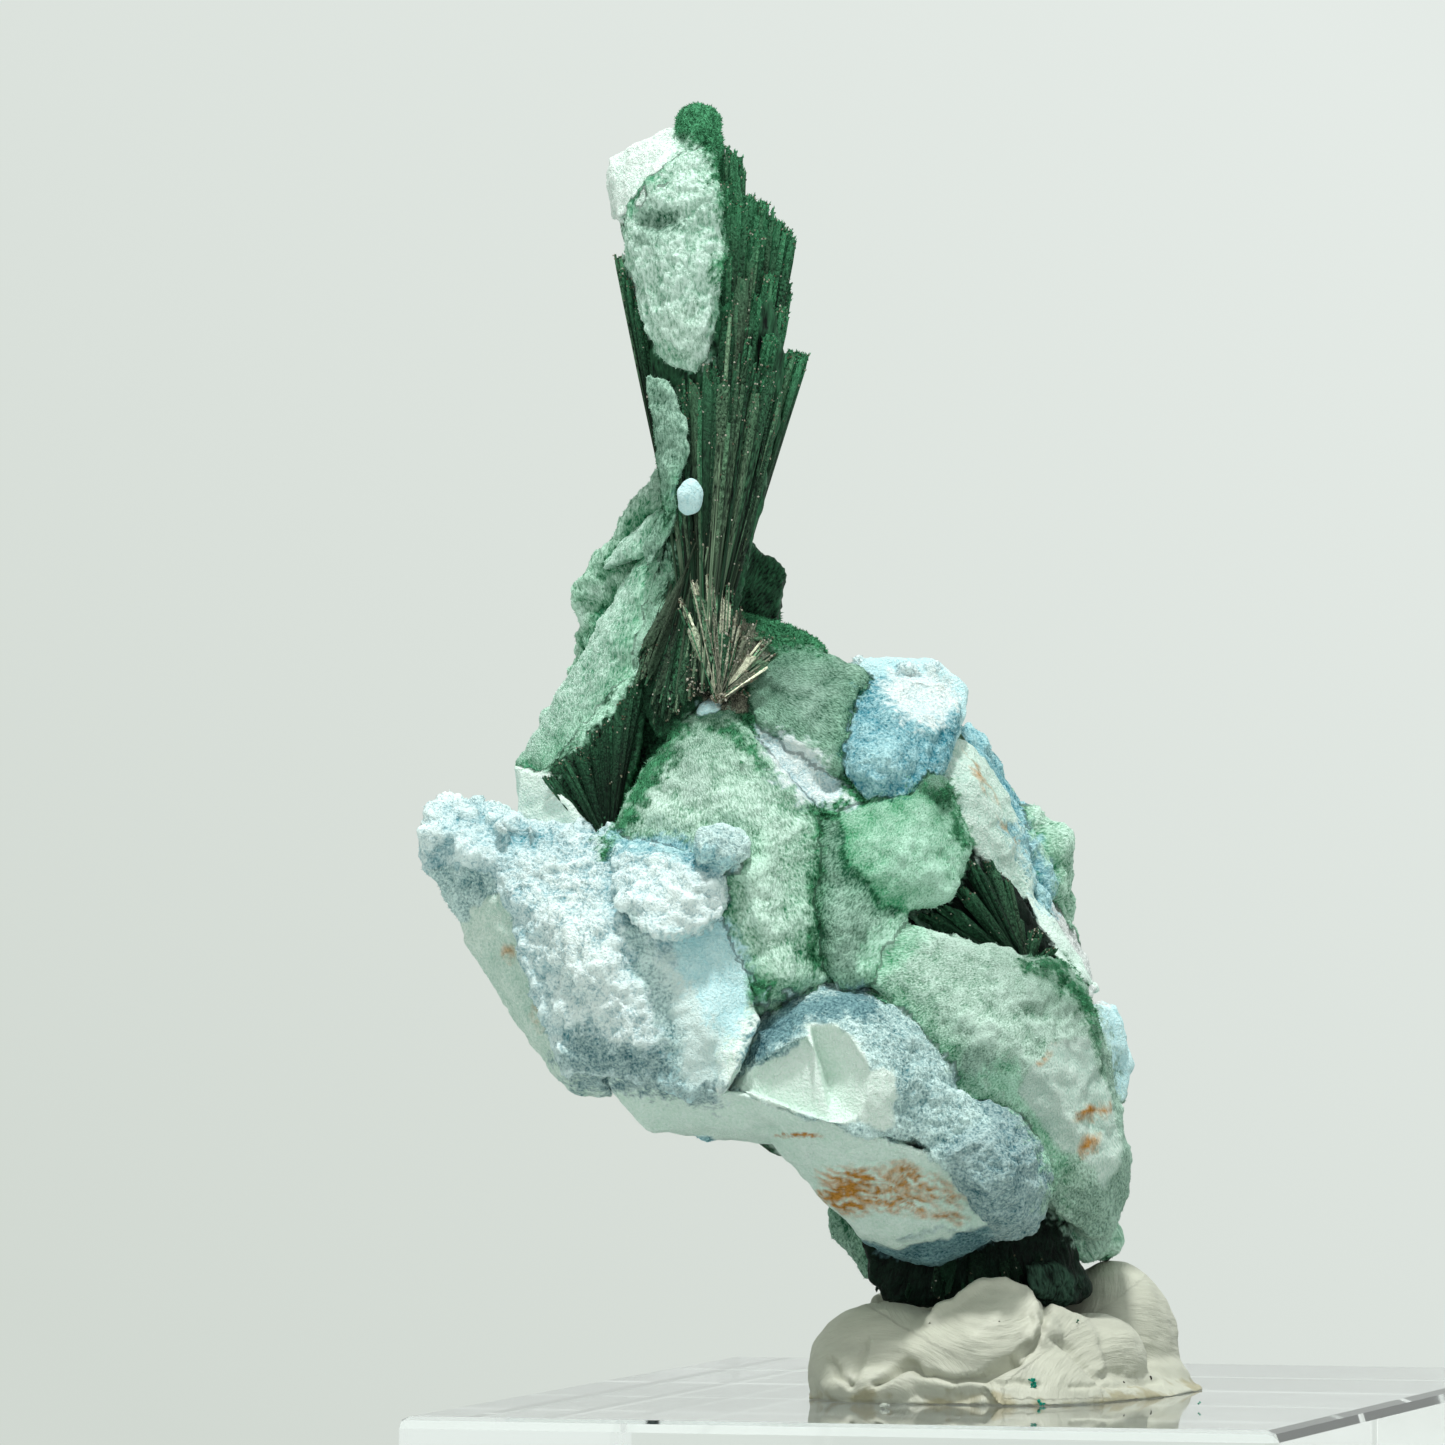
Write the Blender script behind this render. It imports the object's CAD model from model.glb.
"""Malachite with chrysocolla on a clear block: finishes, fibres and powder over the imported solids.

Lengths in the tables are millimetres. A point drawn as (x, z, y) is across, up and away, as the
eye of the photograph lines it up; the solids of the frame were drawn from the same points.
"""

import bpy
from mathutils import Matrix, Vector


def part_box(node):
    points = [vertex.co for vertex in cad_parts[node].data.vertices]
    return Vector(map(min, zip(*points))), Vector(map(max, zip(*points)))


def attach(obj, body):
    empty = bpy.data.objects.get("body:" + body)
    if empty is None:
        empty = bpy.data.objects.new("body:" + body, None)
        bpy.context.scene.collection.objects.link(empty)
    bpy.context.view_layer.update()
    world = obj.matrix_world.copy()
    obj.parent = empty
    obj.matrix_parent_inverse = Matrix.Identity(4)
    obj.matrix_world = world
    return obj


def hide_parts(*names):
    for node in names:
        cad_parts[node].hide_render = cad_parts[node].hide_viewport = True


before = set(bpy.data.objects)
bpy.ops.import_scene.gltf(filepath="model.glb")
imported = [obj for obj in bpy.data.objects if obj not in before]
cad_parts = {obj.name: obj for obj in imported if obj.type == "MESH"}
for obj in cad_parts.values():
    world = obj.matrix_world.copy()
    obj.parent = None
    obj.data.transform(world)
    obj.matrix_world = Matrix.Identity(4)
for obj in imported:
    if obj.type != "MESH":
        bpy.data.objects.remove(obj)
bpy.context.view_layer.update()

import math

import bpy
import numpy as np
from mathutils import Matrix, Vector

bl_info = {
    "name": "Malachite with chrysocolla",
    "version": (1, 0, 0),
    "blender": (4, 5, 0),
    "location": "View3D > Sidebar > Specimen",
    "description": "Builds the specimen, its putty and its clear block, and the stage round them",
    "category": "Object",
}

MM = 0.001

# The specimen stands turned on its block, and was drawn for an eye at this place.
TURN = math.radians(16.1)
EYE_X = -11.57
EYE_Z = 41.9
EYE_DISTANCE = 530.0

# The block's top face, read from the frame.
BLOCK_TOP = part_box("base")[1].z / MM

# How far above it the putty's underside is kept.
CONTACT = 0.02

# Chunks of the specimen. "rim" is the front outline, "back" how far back the chunk goes,
# "shrink" its size there, 0.8 if left out, and "peaks" are points that stand out of its front.
CHUNKS = {
    "spire_tip": dict(back=0.6, shrink=0.7, rim=[
        (-13.6, 68.1, -3.0), (-13.25, 68.6, -2.8), (-12.7, 68.9, -2.2), (-12.1, 68.75, -2.5),
        (-11.75, 68.1, -2.9), (-11.6, 67.0, -3.2), (-12.1, 63.5, -3.7), (-13.6, 63.5, -3.7)],
        peaks=[(-12.7, 67.6, -3.9)]),
    "spire_head": dict(back=2.2, shrink=0.6, rim=[
        (-13.9, 67.9, -2.4), (-12.0, 67.2, -3.6), (-11.6, 65.0, -4.2), (-12.9, 65.0, -4.8),
        (-14.4, 66.2, -4.2), (-15.1, 64.9, -4.2), (-16.0, 63.7, -2.0), (-16.5, 63.9, 0.0),
        (-16.4, 65.2, 0.4), (-16.2, 66.4, 0.2), (-15.5, 67.0, -0.4)], peaks=[(-13.2, 64.4, -4.5)]),
    "spire_face": dict(back=0.5, shrink=0.85, rim=[
        (-15.9, 63.8, -2.9), (-13.2, 64.1, -3.4), (-11.6, 64.2, -4.1), (-11.4, 62.6, -4.1),
        (-11.8, 61.0, -4.3), (-12.1, 59.5, -4.4), (-12.1, 57.8, -4.4), (-12.7, 57.1, -4.4),
        (-13.9, 57.5, -4.2), (-14.6, 57.9, -3.9), (-14.9, 59.4, -3.7), (-15.3, 60.9, -3.5),
        (-15.8, 62.4, -3.2)], peaks=[(-13.6, 62.0, -4.9), (-13.3, 59.0, -5.0)]),
    "spire_core": dict(back=1.4, shrink=0.75, rim=[
        (-15.8, 66.0, -1.4), (-13.6, 67.2, -2.2), (-11.8, 66.6, -2.8), (-11.7, 60.0, -3.0),
        (-14.6, 60.0, -2.6), (-15.7, 62.4, -2.2), (-16.1, 64.0, -1.2)]),
    "spire_rod": dict(back=0.2, rim=[
        (-16.25, 62.3, -1.8), (-15.95, 62.5, -1.8), (-15.5, 61.8, -2.2), (-14.4, 57.6, -2.8),
        (-14.0, 54.4, -3.0), (-14.3, 54.0, -2.6), (-14.8, 57.0, -2.2), (-15.5, 60.0, -1.8)]),
    "spire_shaft": dict(back=2.2, shrink=0.7, rim=[
        (-15.2, 60.4, -2.6), (-13.0, 61.0, -3.6), (-9.4, 60.4, -3.0), (-8.9, 57.8, -2.6),
        (-9.1, 55.0, -2.6), (-10.2, 51.0, -3.0), (-10.9, 46.8, -3.4), (-11.4, 45.4, -3.8),
        (-12.9, 44.5, -4.2), (-13.7, 47.0, -3.6), (-13.9, 50.5, -3.2), (-14.4, 55.0, -2.8)],
        peaks=[(-11.9, 55.0, -4.4), (-12.3, 48.0, -4.8), (-13.3, 53.0, -4.0)]),
    "ledge_plate": dict(back=6.8, shrink=0.75, rim=[
        (-14.2, 53.3, 1.4), (-14.9, 52.2, 1.6), (-15.0, 51.1, 1.8), (-16.6, 49.5, 2.4), (-17.7, 48.0, 3.0),
        (-18.0, 46.4, 3.4), (-18.4, 44.2, 3.8), (-18.1, 42.3, 4.0), (-15.0, 42.5, 1.0), (-13.6, 47.0, 0.0),
        (-13.6, 51.0, 0.2)]),
    "ledge_strip": dict(back=3.0, rim=[
        (-13.7, 51.4, -2.8), (-14.7, 50.9, -1.8), (-16.4, 49.3, -0.4), (-16.9, 48.6, 0.2),
        (-15.4, 49.0, -1.4), (-14.3, 49.7, -2.6), (-13.7, 50.2, -3.2)]),
    "ledge": dict(back=4.6, shrink=0.7, rim=[
        (-14.0, 49.7, -2.6), (-15.0, 49.1, -1.2), (-15.9, 47.9, -0.4), (-17.0, 45.9, 0.4),
        (-17.9, 43.8, 0.8), (-18.2, 42.3, 0.6), (-19.4, 41.2, 0.0), (-20.6, 40.0, -0.8),
        (-18.9, 40.2, -2.4), (-17.3, 41.5, -2.9), (-16.2, 43.2, -3.1), (-15.2, 44.6, -3.1),
        (-14.9, 46.9, -2.9)], peaks=[(-16.9, 36.6, -2.6)]),
    "ledge_cut": dict(back=2.5, rim=[
        (-20.7, 40.0, -1.4), (-19.0, 39.4, -2.8), (-18.4, 38.4, -3.4), (-17.4, 37.3, -4.0),
        (-16.8, 36.4, -4.6), (-17.0, 35.6, -4.4), (-20.4, 37.8, -1.8)]),
    "neck_left": dict(back=2.8, rim=[
        (-13.9, 50.0, -3.0), (-14.6, 48.0, -3.0), (-15.0, 46.6, -3.0), (-15.3, 45.2, -3.0),
        (-15.8, 43.9, -2.9), (-15.2, 42.8, -3.3), (-14.3, 41.2, -4.2), (-13.4, 41.6, -4.7),
        (-12.4, 43.0, -4.9), (-11.6, 44.6, -4.6), (-12.2, 47.0, -4.6), (-12.8, 49.6, -4.2)],
        peaks=[(-13.6, 45.0, -5.0)]),
    "neck_middle": dict(back=3.4, shrink=0.9, rim=[
        (-12.7, 45.6, -4.0), (-11.3, 45.4, -3.8), (-10.9, 46.6, -3.2), (-9.4, 45.0, -3.0),
        (-10.2, 43.5, -4.3), (-10.6, 42.4, -5.0), (-12.2, 42.6, -5.1), (-13.0, 43.6, -4.8)]),
    "neck_laminae": dict(back=2.8, shrink=0.85, rim=[
        (-10.9, 46.7, -2.6), (-9.2, 46.1, -2.4), (-8.0, 45.75, -2.2), (-7.15, 45.2, -2.0),
        (-7.1, 44.7, -2.6), (-9.3, 44.9, -3.2), (-10.9, 45.6, -3.5)]),
    "neck_block": dict(back=5.6, shrink=0.85, rim=[
        (-10.9, 50.1, 1.0), (-9.9, 49.4, 1.6), (-9.3, 49.0, 1.8), (-8.9, 48.4, 1.8), (-9.2, 46.0, 1.4),
        (-11.6, 45.0, 0.6), (-11.6, 49.5, 0.6)]),
    "valley": dict(back=2.0, shrink=0.9, rim=[
        (-11.9, 43.6, -4.4), (-10.3, 43.8, -4.0), (-9.2, 42.2, -4.6), (-9.6, 40.6, -5.4),
        (-10.6, 40.2, -5.6), (-11.8, 41.0, -5.2)]),
    "tent": dict(back=4.0, shrink=0.85, rim=[
        (-12.2, 42.9, -4.8), (-13.4, 42.0, -4.8), (-14.1, 41.0, -4.9), (-15.5, 39.0, -5.1),
        (-16.7, 36.7, -5.2), (-16.4, 34.5, -5.4), (-13.0, 33.0, -7.6), (-11.3, 31.6, -8.4),
        (-10.3, 30.2, -8.2), (-10.15, 29.1, -7.8), (-8.0, 30.0, -8.2), (-6.8, 30.8, -7.6),
        (-7.8, 33.0, -8.4), (-7.7, 36.0, -7.7), (-7.4, 38.1, -6.8), (-8.8, 39.2, -6.5),
        (-10.0, 40.2, -6.2), (-10.3, 41.4, -5.6), (-11.2, 42.4, -5.0)],
        peaks=[(-10.4, 35.5, -9.3), (-9.6, 32.6, -9.4)]),
    "grey_lobe": dict(back=4.0, shrink=0.9, rim=[
        (-7.5, 37.6, -6.8), (-6.5, 37.7, -6.6), (-6.2, 36.3, -7.2), (-5.0, 34.9, -7.6), (-3.5, 33.3, -7.2),
        (-4.6, 31.8, -7.9), (-5.2, 30.4, -8.2), (-6.4, 30.0, -8.4), (-7.4, 32.2, -8.0), (-7.7, 34.0, -7.8)],
        peaks=[(-6.4, 33.2, -8.7)]),
    "mint_lobe": dict(back=4.0, shrink=0.85, rim=[
        (-6.3, 38.0, -6.4), (-5.0, 38.5, -6.2), (-3.6, 38.6, -5.8), (-2.4, 39.2, -5.2), (-1.7, 38.9, -4.6),
        (-1.2, 37.6, -4.8), (-0.6, 36.5, -4.6), (-1.2, 35.3, -5.8), (-1.5, 34.2, -6.3), (-2.4, 33.9, -6.7),
        (-3.4, 33.7, -7.1), (-4.4, 34.0, -7.6), (-5.5, 35.0, -7.7), (-6.5, 36.3, -7.2)],
        peaks=[(-3.8, 36.2, -8.3)]),
    "dark_hollow": dict(back=5.0, shrink=0.9, rim=[
        (-3.6, 33.6, -4.6), (-1.2, 34.6, -4.0), (-0.6, 36.5, -3.0), (0.4, 35.5, -2.2), (1.2, 34.0, -1.8),
        (3.3, 31.8, -2.2), (1.8, 30.8, -3.8), (-1.5, 32.0, -4.6)]),
    "lower_face": dict(back=5.0, shrink=0.82, rim=[
        (-5.2, 30.5, -8.0), (-4.7, 32.2, -7.7), (-3.4, 33.0, -7.0), (-2.3, 32.8, -7.0), (-0.6, 32.0, -7.0),
        (1.0, 31.2, -6.6), (2.4, 31.2, -5.6), (3.5, 31.4, -4.6), (4.1, 30.4, -4.4), (4.8, 29.2, -4.0),
        (5.3, 27.4, -3.8), (5.7, 25.2, -3.6), (6.1, 23.8, -3.4), (6.3, 22.9, -3.0), (6.1, 21.3, -3.0),
        (5.8, 20.4, -3.0), (5.3, 19.3, -3.0), (4.4, 19.3, -3.6), (3.3, 20.2, -4.8), (2.6, 22.0, -5.8),
        (-1.0, 24.0, -7.6), (-3.0, 28.0, -8.4)],
        peaks=[(0.2, 28.6, -8.5), (2.8, 26.4, -7.2), (4.6, 22.4, -5.6)]),
    "grey_slope": dict(back=4.6, shrink=0.85, rim=[
        (-10.5, 43.4, -4.8), (-10.1, 42.0, -5.3), (-8.5, 41.3, -5.7), (-7.4, 40.5, -5.9),
        (-6.4, 39.4, -6.0), (-6.2, 41.0, -5.2), (-6.1, 42.8, -4.2), (-5.2, 44.1, -2.6), (-7.1, 44.9, -2.6),
        (-8.5, 45.3, -2.8), (-9.6, 45.1, -3.2), (-10.1, 44.2, -4.0)]),
    "lavender_bed": dict(back=1.0, shrink=0.9, rim=[
        (-10.0, 41.7, -5.0), (-8.4, 41.2, -5.2), (-7.0, 40.1, -5.4), (-5.6, 38.5, -5.7),
        (-7.2, 38.0, -6.0), (-8.8, 39.2, -5.8), (-10.0, 40.2, -5.5)]),
    "junction": dict(back=2.0, shrink=0.9, rim=[
        (-7.3, 40.6, -5.0), (-6.0, 41.2, -4.6), (-4.8, 39.4, -5.4), (-4.4, 38.2, -5.8), (-5.6, 37.2, -6.3),
        (-7.2, 37.4, -6.3), (-8.0, 39.4, -5.5)]),
    "cup_bulge": dict(back=3.4, shrink=0.85, rim=[
        (-6.2, 42.3, -4.2), (-6.3, 41.0, -5.1), (-6.1, 39.6, -5.8), (-5.3, 38.5, -6.0), (-4.2, 38.5, -6.0),
        (-2.8, 39.0, -5.4), (-1.9, 39.7, -4.2), (-1.5, 40.8, -3.4), (-1.2, 41.8, -2.6), (-2.6, 42.2, -4.0),
        (-4.2, 42.5, -4.6)], peaks=[(-4.4, 40.4, -6.5)]),
    "cup_rim": dict(back=3.8, rim=[
        (-5.9, 44.2, -1.8), (-5.1, 44.75, -1.2), (-4.5, 44.75, -1.0), (-3.9, 44.4, -0.9),
        (-3.4, 44.65, -0.7), (-2.8, 44.65, -0.6), (-1.8, 44.3, -0.6), (-1.0, 43.8, -0.8),
        (-0.8, 43.2, -1.0), (-0.9, 42.4, -1.4), (-1.3, 41.2, -2.4), (-2.4, 40.6, -3.2),
        (-6.2, 41.0, -3.6)]),
    "right_plate": dict(back=6.0, rim=[
        (-1.2, 42.0, 1.4), (-0.4, 40.9, 1.2), (0.5, 39.4, 1.2), (1.3, 38.3, 1.4), (1.9, 37.2, 1.6),
        (0.6, 36.2, 0.0), (-0.6, 37.2, -1.4), (-1.6, 39.6, -1.6), (-1.9, 41.2, -0.4)]),
    "right_crust": dict(back=6.4, rim=[
        (1.0, 38.0, 1.2), (2.0, 37.1, 1.4), (2.6, 36.3, 1.6), (3.0, 35.2, 1.8), (2.95, 34.2, 2.0),
        (1.6, 34.2, 0.4), (0.6, 36.2, 0.0)]),
    "right_crystal": dict(back=7.4, rim=[
        (1.6, 34.9, 0.2), (2.4, 34.6, 0.4), (2.9, 33.4, 0.8), (3.8, 32.3, 1.0), (4.2, 31.3, 1.0),
        (4.7, 29.9, 1.0), (3.8, 29.4, -1.4), (2.4, 31.4, -1.6), (1.2, 33.6, -0.8)]),
    "right_shoulder": dict(back=7.2, shrink=0.75, rim=[
        (4.7, 29.7, 0.6), (5.3, 29.6, 1.0), (5.8, 28.9, 1.3), (6.05, 27.9, 1.5), (6.1, 26.6, 1.5),
        (5.8, 25.0, 1.0), (4.6, 25.0, -1.0), (4.0, 28.4, -1.0)]),
    "heart": dict(back=7.0, shrink=0.72, rim=[
        (-14.0, 42.0, -2.0), (-9.0, 45.0, -1.0), (-2.0, 43.0, 0.0), (1.4, 37.0, 0.4), (4.4, 30.0, 0.0),
        (5.2, 23.0, -1.0), (3.0, 20.4, -2.0), (-5.0, 20.6, -4.0), (-11.0, 25.4, -5.0), (-17.5, 28.0, -3.6),
        (-20.5, 33.0, -2.6), (-19.6, 37.6, -1.6), (-16.6, 41.6, -1.6)]),
    "slab": dict(back=0.5, rim=[
        (-20.6, 37.9, -4.2), (-19.2, 37.6, -4.5), (-17.0, 36.4, -5.3), (-14.5, 36.6, -6.6),
        (-13.0, 36.0, -7.4), (-12.4, 34.0, -8.2), (-14.0, 31.2, -9.0), (-13.4, 29.3, -9.3),
        (-13.3, 27.6, -9.2), (-14.2, 26.2, -8.8), (-16.8, 26.4, -8.1), (-18.6, 26.7, -7.4),
        (-19.0, 27.6, -7.1), (-19.8, 30.6, -6.7), (-20.6, 32.8, -6.2), (-21.1, 34.0, -5.8),
        (-21.6, 35.6, -5.2), (-22.0, 37.8, -4.0)], peaks=[(-17.0, 31.2, -9.5), (-15.6, 28.4, -9.7)]),
    "slab_cap": dict(back=-6.0, shrink=0.9, rim=[
        (-16.4, 36.5, -6.4), (-14.5, 36.7, -7.6), (-12.9, 36.3, -8.5), (-11.8, 35.5, -9.1),
        (-11.35, 34.9, -9.3), (-11.4, 34.1, -9.5), (-11.8, 33.3, -9.7), (-12.6, 32.75, -9.9),
        (-13.6, 32.5, -10.0), (-14.6, 32.75, -9.9), (-15.5, 33.3, -9.5), (-16.1, 34.1, -8.9)],
        peaks=[(-13.6, 34.4, -10.1)]),
    "slab_hollow": dict(back=-2.0, shrink=0.9, rim=[
        (-15.4, 33.2, -8.2), (-13.5, 33.0, -8.4), (-11.4, 33.4, -8.3), (-11.0, 31.9, -8.5),
        (-10.4, 31.0, -8.5), (-10.2, 29.6, -8.8), (-10.6, 28.6, -9.2), (-11.8, 25.8, -9.6),
        (-13.0, 25.3, -9.4), (-14.4, 26.0, -9.0), (-13.3, 28.6, -9.6), (-12.7, 30.6, -9.2)],
        peaks=[(-12.3, 28.6, -9.9)]),
    "slab_facet": dict(back=-4.0, shrink=0.9, rim=[
        (-11.3, 28.8, -9.6), (-10.2, 29.4, -9.2), (-9.9, 28.8, -9.6), (-10.8, 27.0, -10.4),
        (-11.3, 26.0, -10.4), (-11.9, 25.5, -10.0), (-11.7, 27.4, -9.9)]),
    "rough_end": dict(back=2.4, shrink=0.75, rim=[
        (-24.5, 38.2, -2.8), (-24.2, 38.7, -2.2), (-23.5, 38.8, -1.8), (-22.4, 38.6, -2.2),
        (-20.4, 38.0, -3.4), (-20.8, 36.6, -5.0), (-21.2, 35.7, -5.4), (-22.4, 36.0, -5.4),
        (-23.3, 36.9, -4.8), (-24.6, 36.9, -3.6), (-24.65, 36.0, -3.0), (-24.4, 35.4, -2.4)]),
    "rough_end_low": dict(back=1.6, rim=[
        (-24.4, 35.6, -2.8), (-24.0, 35.0, -3.0), (-23.5, 34.2, -3.2), (-23.1, 33.2, -3.4),
        (-21.7, 33.4, -4.6), (-20.9, 34.4, -5.4), (-21.2, 35.8, -5.0), (-22.4, 36.1, -4.4),
        (-23.6, 35.9, -3.6)]),
    "slab_core": dict(back=2.0, rim=[
        (-23.6, 36.6, -2.6), (-22.8, 33.4, -2.8), (-21.4, 32.0, -3.6), (-18.4, 26.6, -5.6),
        (-15.4, 25.8, -6.6), (-14.0, 30.0, -7.6), (-16.0, 36.0, -4.6), (-20.4, 37.4, -3.2)]),
    "slab_side": dict(back=1.8, rim=[
        (-23.1, 33.2, -3.2), (-22.9, 32.4, -2.8), (-22.4, 31.9, -2.6), (-21.5, 31.5, -2.9),
        (-21.0, 30.8, -3.0), (-20.2, 29.2, -3.2), (-19.1, 27.0, -3.8), (-19.0, 26.5, -4.0),
        (-18.2, 25.8, -4.6), (-16.2, 25.5, -5.4), (-17.0, 26.6, -7.4), (-18.8, 27.2, -6.8),
        (-19.8, 30.4, -6.3), (-20.6, 32.6, -5.9), (-21.4, 33.9, -5.2)]),
    "underside_left": dict(back=0.5, shrink=0.85, rim=[
        (-16.4, 25.8, -6.6), (-15.6, 24.9, -6.5), (-14.6, 24.05, -6.4), (-13.1, 24.0, -6.8),
        (-11.0, 24.0, -7.2), (-9.4, 23.5, -7.5), (-7.0, 24.4, -10.9), (-9.8, 25.4, -10.4),
        (-11.8, 25.7, -9.8), (-14.4, 26.2, -8.8), (-16.6, 27.0, -8.0)]),
    "underside": dict(back=0.5, rim=[
        (-10.0, 24.0, -7.4), (-8.8, 22.9, -7.5), (-8.0, 22.1, -7.4), (-6.4, 20.4, -7.0),
        (-5.6, 19.5, -6.8), (-4.0, 18.9, -7.0), (-2.0, 19.4, -7.6), (0.2, 20.0, -8.0), (0.0, 21.2, -8.8),
        (-2.4, 23.2, -10.2), (-5.5, 24.0, -10.8), (-7.0, 24.4, -10.9), (-9.6, 25.3, -10.4)]),
    "dome_lip": dict(back=-0.5, shrink=0.85, rim=[
        (-6.0, 20.0, -6.4), (-5.4, 19.2, -6.0), (-4.0, 18.5, -5.8), (-2.3, 18.15, -5.8),
        (-1.0, 18.7, -6.2), (0.2, 19.35, -6.8), (0.4, 20.1, -8.0), (-2.0, 19.8, -7.9), (-4.0, 19.3, -7.3)]),
    "tooth": dict(back=-4.5, shrink=0.7, rim=[
        (-13.0, 24.2, -6.4), (-12.6, 23.7, -6.5), (-12.35, 23.55, -6.6), (-12.0, 23.8, -6.7),
        (-11.6, 24.3, -7.0), (-12.4, 25.0, -7.8)]),
    "foot": dict(back=5.6, rim=[
        (-5.6, 19.9, -3.6), (-5.0, 17.6, -3.4), (-4.5, 16.6, -3.2), (-2.4, 16.45, -3.8),
        (1.6, 16.45, -3.8), (3.8, 16.5, -2.6), (4.5, 17.0, -1.4), (3.9, 18.4, -1.8), (3.2, 20.6, -3.2),
        (0.0, 21.4, -4.6)]),
    "foot_lump": dict(back=0.0, rim=[
        (1.7, 18.2, -4.8), (3.0, 18.4, -3.8), (3.9, 17.6, -3.2), (3.7, 16.6, -3.0), (2.4, 16.7, -4.2),
        (1.8, 17.2, -4.9)]),
    "foot_left": dict(back=4.4, shrink=0.75, rim=[
        (-6.9, 20.6, 0.4), (-6.8, 19.6, 0.2), (-6.0, 18.7, 0.0), (-5.2, 17.6, -0.2), (-4.4, 17.6, -1.4),
        (-4.6, 20.6, -2.6), (-6.2, 22.0, -2.0)]),
    "foot_right": dict(back=6.2, shrink=0.75, rim=[
        (2.4, 19.8, -1.0), (3.6, 18.6, 0.4), (4.4, 18.4, 0.8), (5.0, 18.6, 1.0), (5.4, 19.4, 1.2),
        (5.5, 21.4, 1.0), (3.6, 22.4, -2.0)]),
    # The rest are covers and fills between growths that the eye sees run together.
    "face_skin": dict(back=-2.0, shrink=0.9, rim=[
        (-15.75, 64.5, -3.5), (-14.9, 65.6, -4.2), (-13.2, 66.8, -4.4), (-12.0, 67.1, -4.0),
        (-11.6, 65.0, -4.6), (-11.5, 62.6, -4.6), (-12.2, 59.2, -4.8), (-13.5, 57.8, -4.8),
        (-14.8, 60.0, -4.3), (-15.7, 62.6, -3.7)], peaks=[(-13.2, 64.6, -5.0), (-13.5, 61.2, -5.1)]),
    "cup_fill": dict(back=2.0, shrink=0.85, rim=[
        (-6.0, 43.2, -3.2), (-4.6, 43.9, -2.6), (-2.0, 43.6, -2.0), (-1.1, 42.6, -2.0), (-1.3, 41.2, -3.0),
        (-2.6, 40.0, -4.8), (-5.9, 40.4, -5.2)], peaks=[(-4.0, 41.6, -5.0)]),
    "right_wall": dict(back=3.0, shrink=0.85, rim=[
        (-2.2, 41.4, -1.8), (-0.9, 41.0, -0.6), (0.3, 39.6, -0.2), (1.2, 38.0, -0.2), (1.8, 36.4, -0.2),
        (2.2, 34.8, -0.6), (1.2, 33.6, -1.8), (0.0, 35.2, -2.8), (-1.0, 37.0, -3.6), (-2.2, 39.2, -3.6)],
        peaks=[(-0.5, 39.2, -2.9), (0.4, 37.0, -2.4)]),
    "window_ridge": dict(back=-9.0, rim=[
        (-5.2, 26.7, -11.5), (-4.3, 26.85, -11.4), (-3.85, 26.3, -11.2), (-4.15, 25.5, -11.3),
        (-4.2, 24.4, -11.1), (-4.6, 24.0, -10.9), (-5.5, 24.9, -11.3)], peaks=[(-4.6, 25.6, -11.6)]),
    "ribbon_cover": dict(back=-3.0, shrink=0.9, rim=[
        (-14.85, 57.1, -3.9), (-14.0, 56.8, -4.6), (-13.15, 55.2, -5.0), (-13.1, 53.8, -5.2),
        (-13.7, 51.8, -5.1), (-14.0, 50.7, -4.6), (-14.35, 52.8, -3.9), (-14.65, 55.0, -3.7)]),
    "ribbon_foot": dict(back=-2.4, shrink=0.9, rim=[
        (-13.6, 52.2, -4.9), (-13.5, 50.9, -4.9), (-14.2, 49.6, -4.2), (-14.9, 48.6, -3.8),
        (-15.0, 49.4, -3.4), (-14.2, 51.2, -4.0)]),
    "right_skirt": dict(back=3.0, shrink=0.85, rim=[
        (1.6, 34.8, -1.2), (2.9, 33.4, -1.0), (4.0, 31.6, -0.8), (4.6, 30.4, -1.0), (3.6, 30.8, -3.0),
        (2.2, 32.8, -2.6)]),
    "head_cover": dict(back=1.4, rim=[
        (-16.6, 66.45, -0.4), (-15.5, 67.1, -1.2), (-13.7, 67.95, -2.9), (-14.2, 65.4, -4.5),
        (-15.2, 64.6, -4.2), (-16.1, 63.9, -2.6), (-16.5, 64.4, -0.8)]),
    "dome_join": dict(back=-6.0, shrink=0.9, rim=[
        (-3.8, 24.6, -10.3), (-2.4, 26.4, -10.0), (-0.8, 25.6, -9.4), (0.8, 23.8, -9.8),
        (-0.2, 21.4, -9.7), (-2.2, 22.7, -10.3)]),
    "end_joint": dict(back=-1.0, shrink=0.9, rim=[
        (-22.6, 33.8, -4.2), (-21.2, 34.4, -5.6), (-20.4, 33.0, -6.2), (-20.9, 31.2, -5.2),
        (-22.4, 31.9, -3.6)]),
    "ledge_fan": dict(back=0.6, shrink=0.9, rim=[
        (-19.6, 39.6, -2.2), (-18.2, 40.7, -2.8), (-16.9, 41.9, -3.2), (-15.9, 43.2, -3.4),
        (-15.2, 44.4, -3.4), (-14.9, 42.6, -3.6), (-15.2, 40.6, -3.6), (-16.1, 37.4, -3.6),
        (-17.0, 36.6, -3.8), (-18.3, 38.2, -3.0)]),
}

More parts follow.
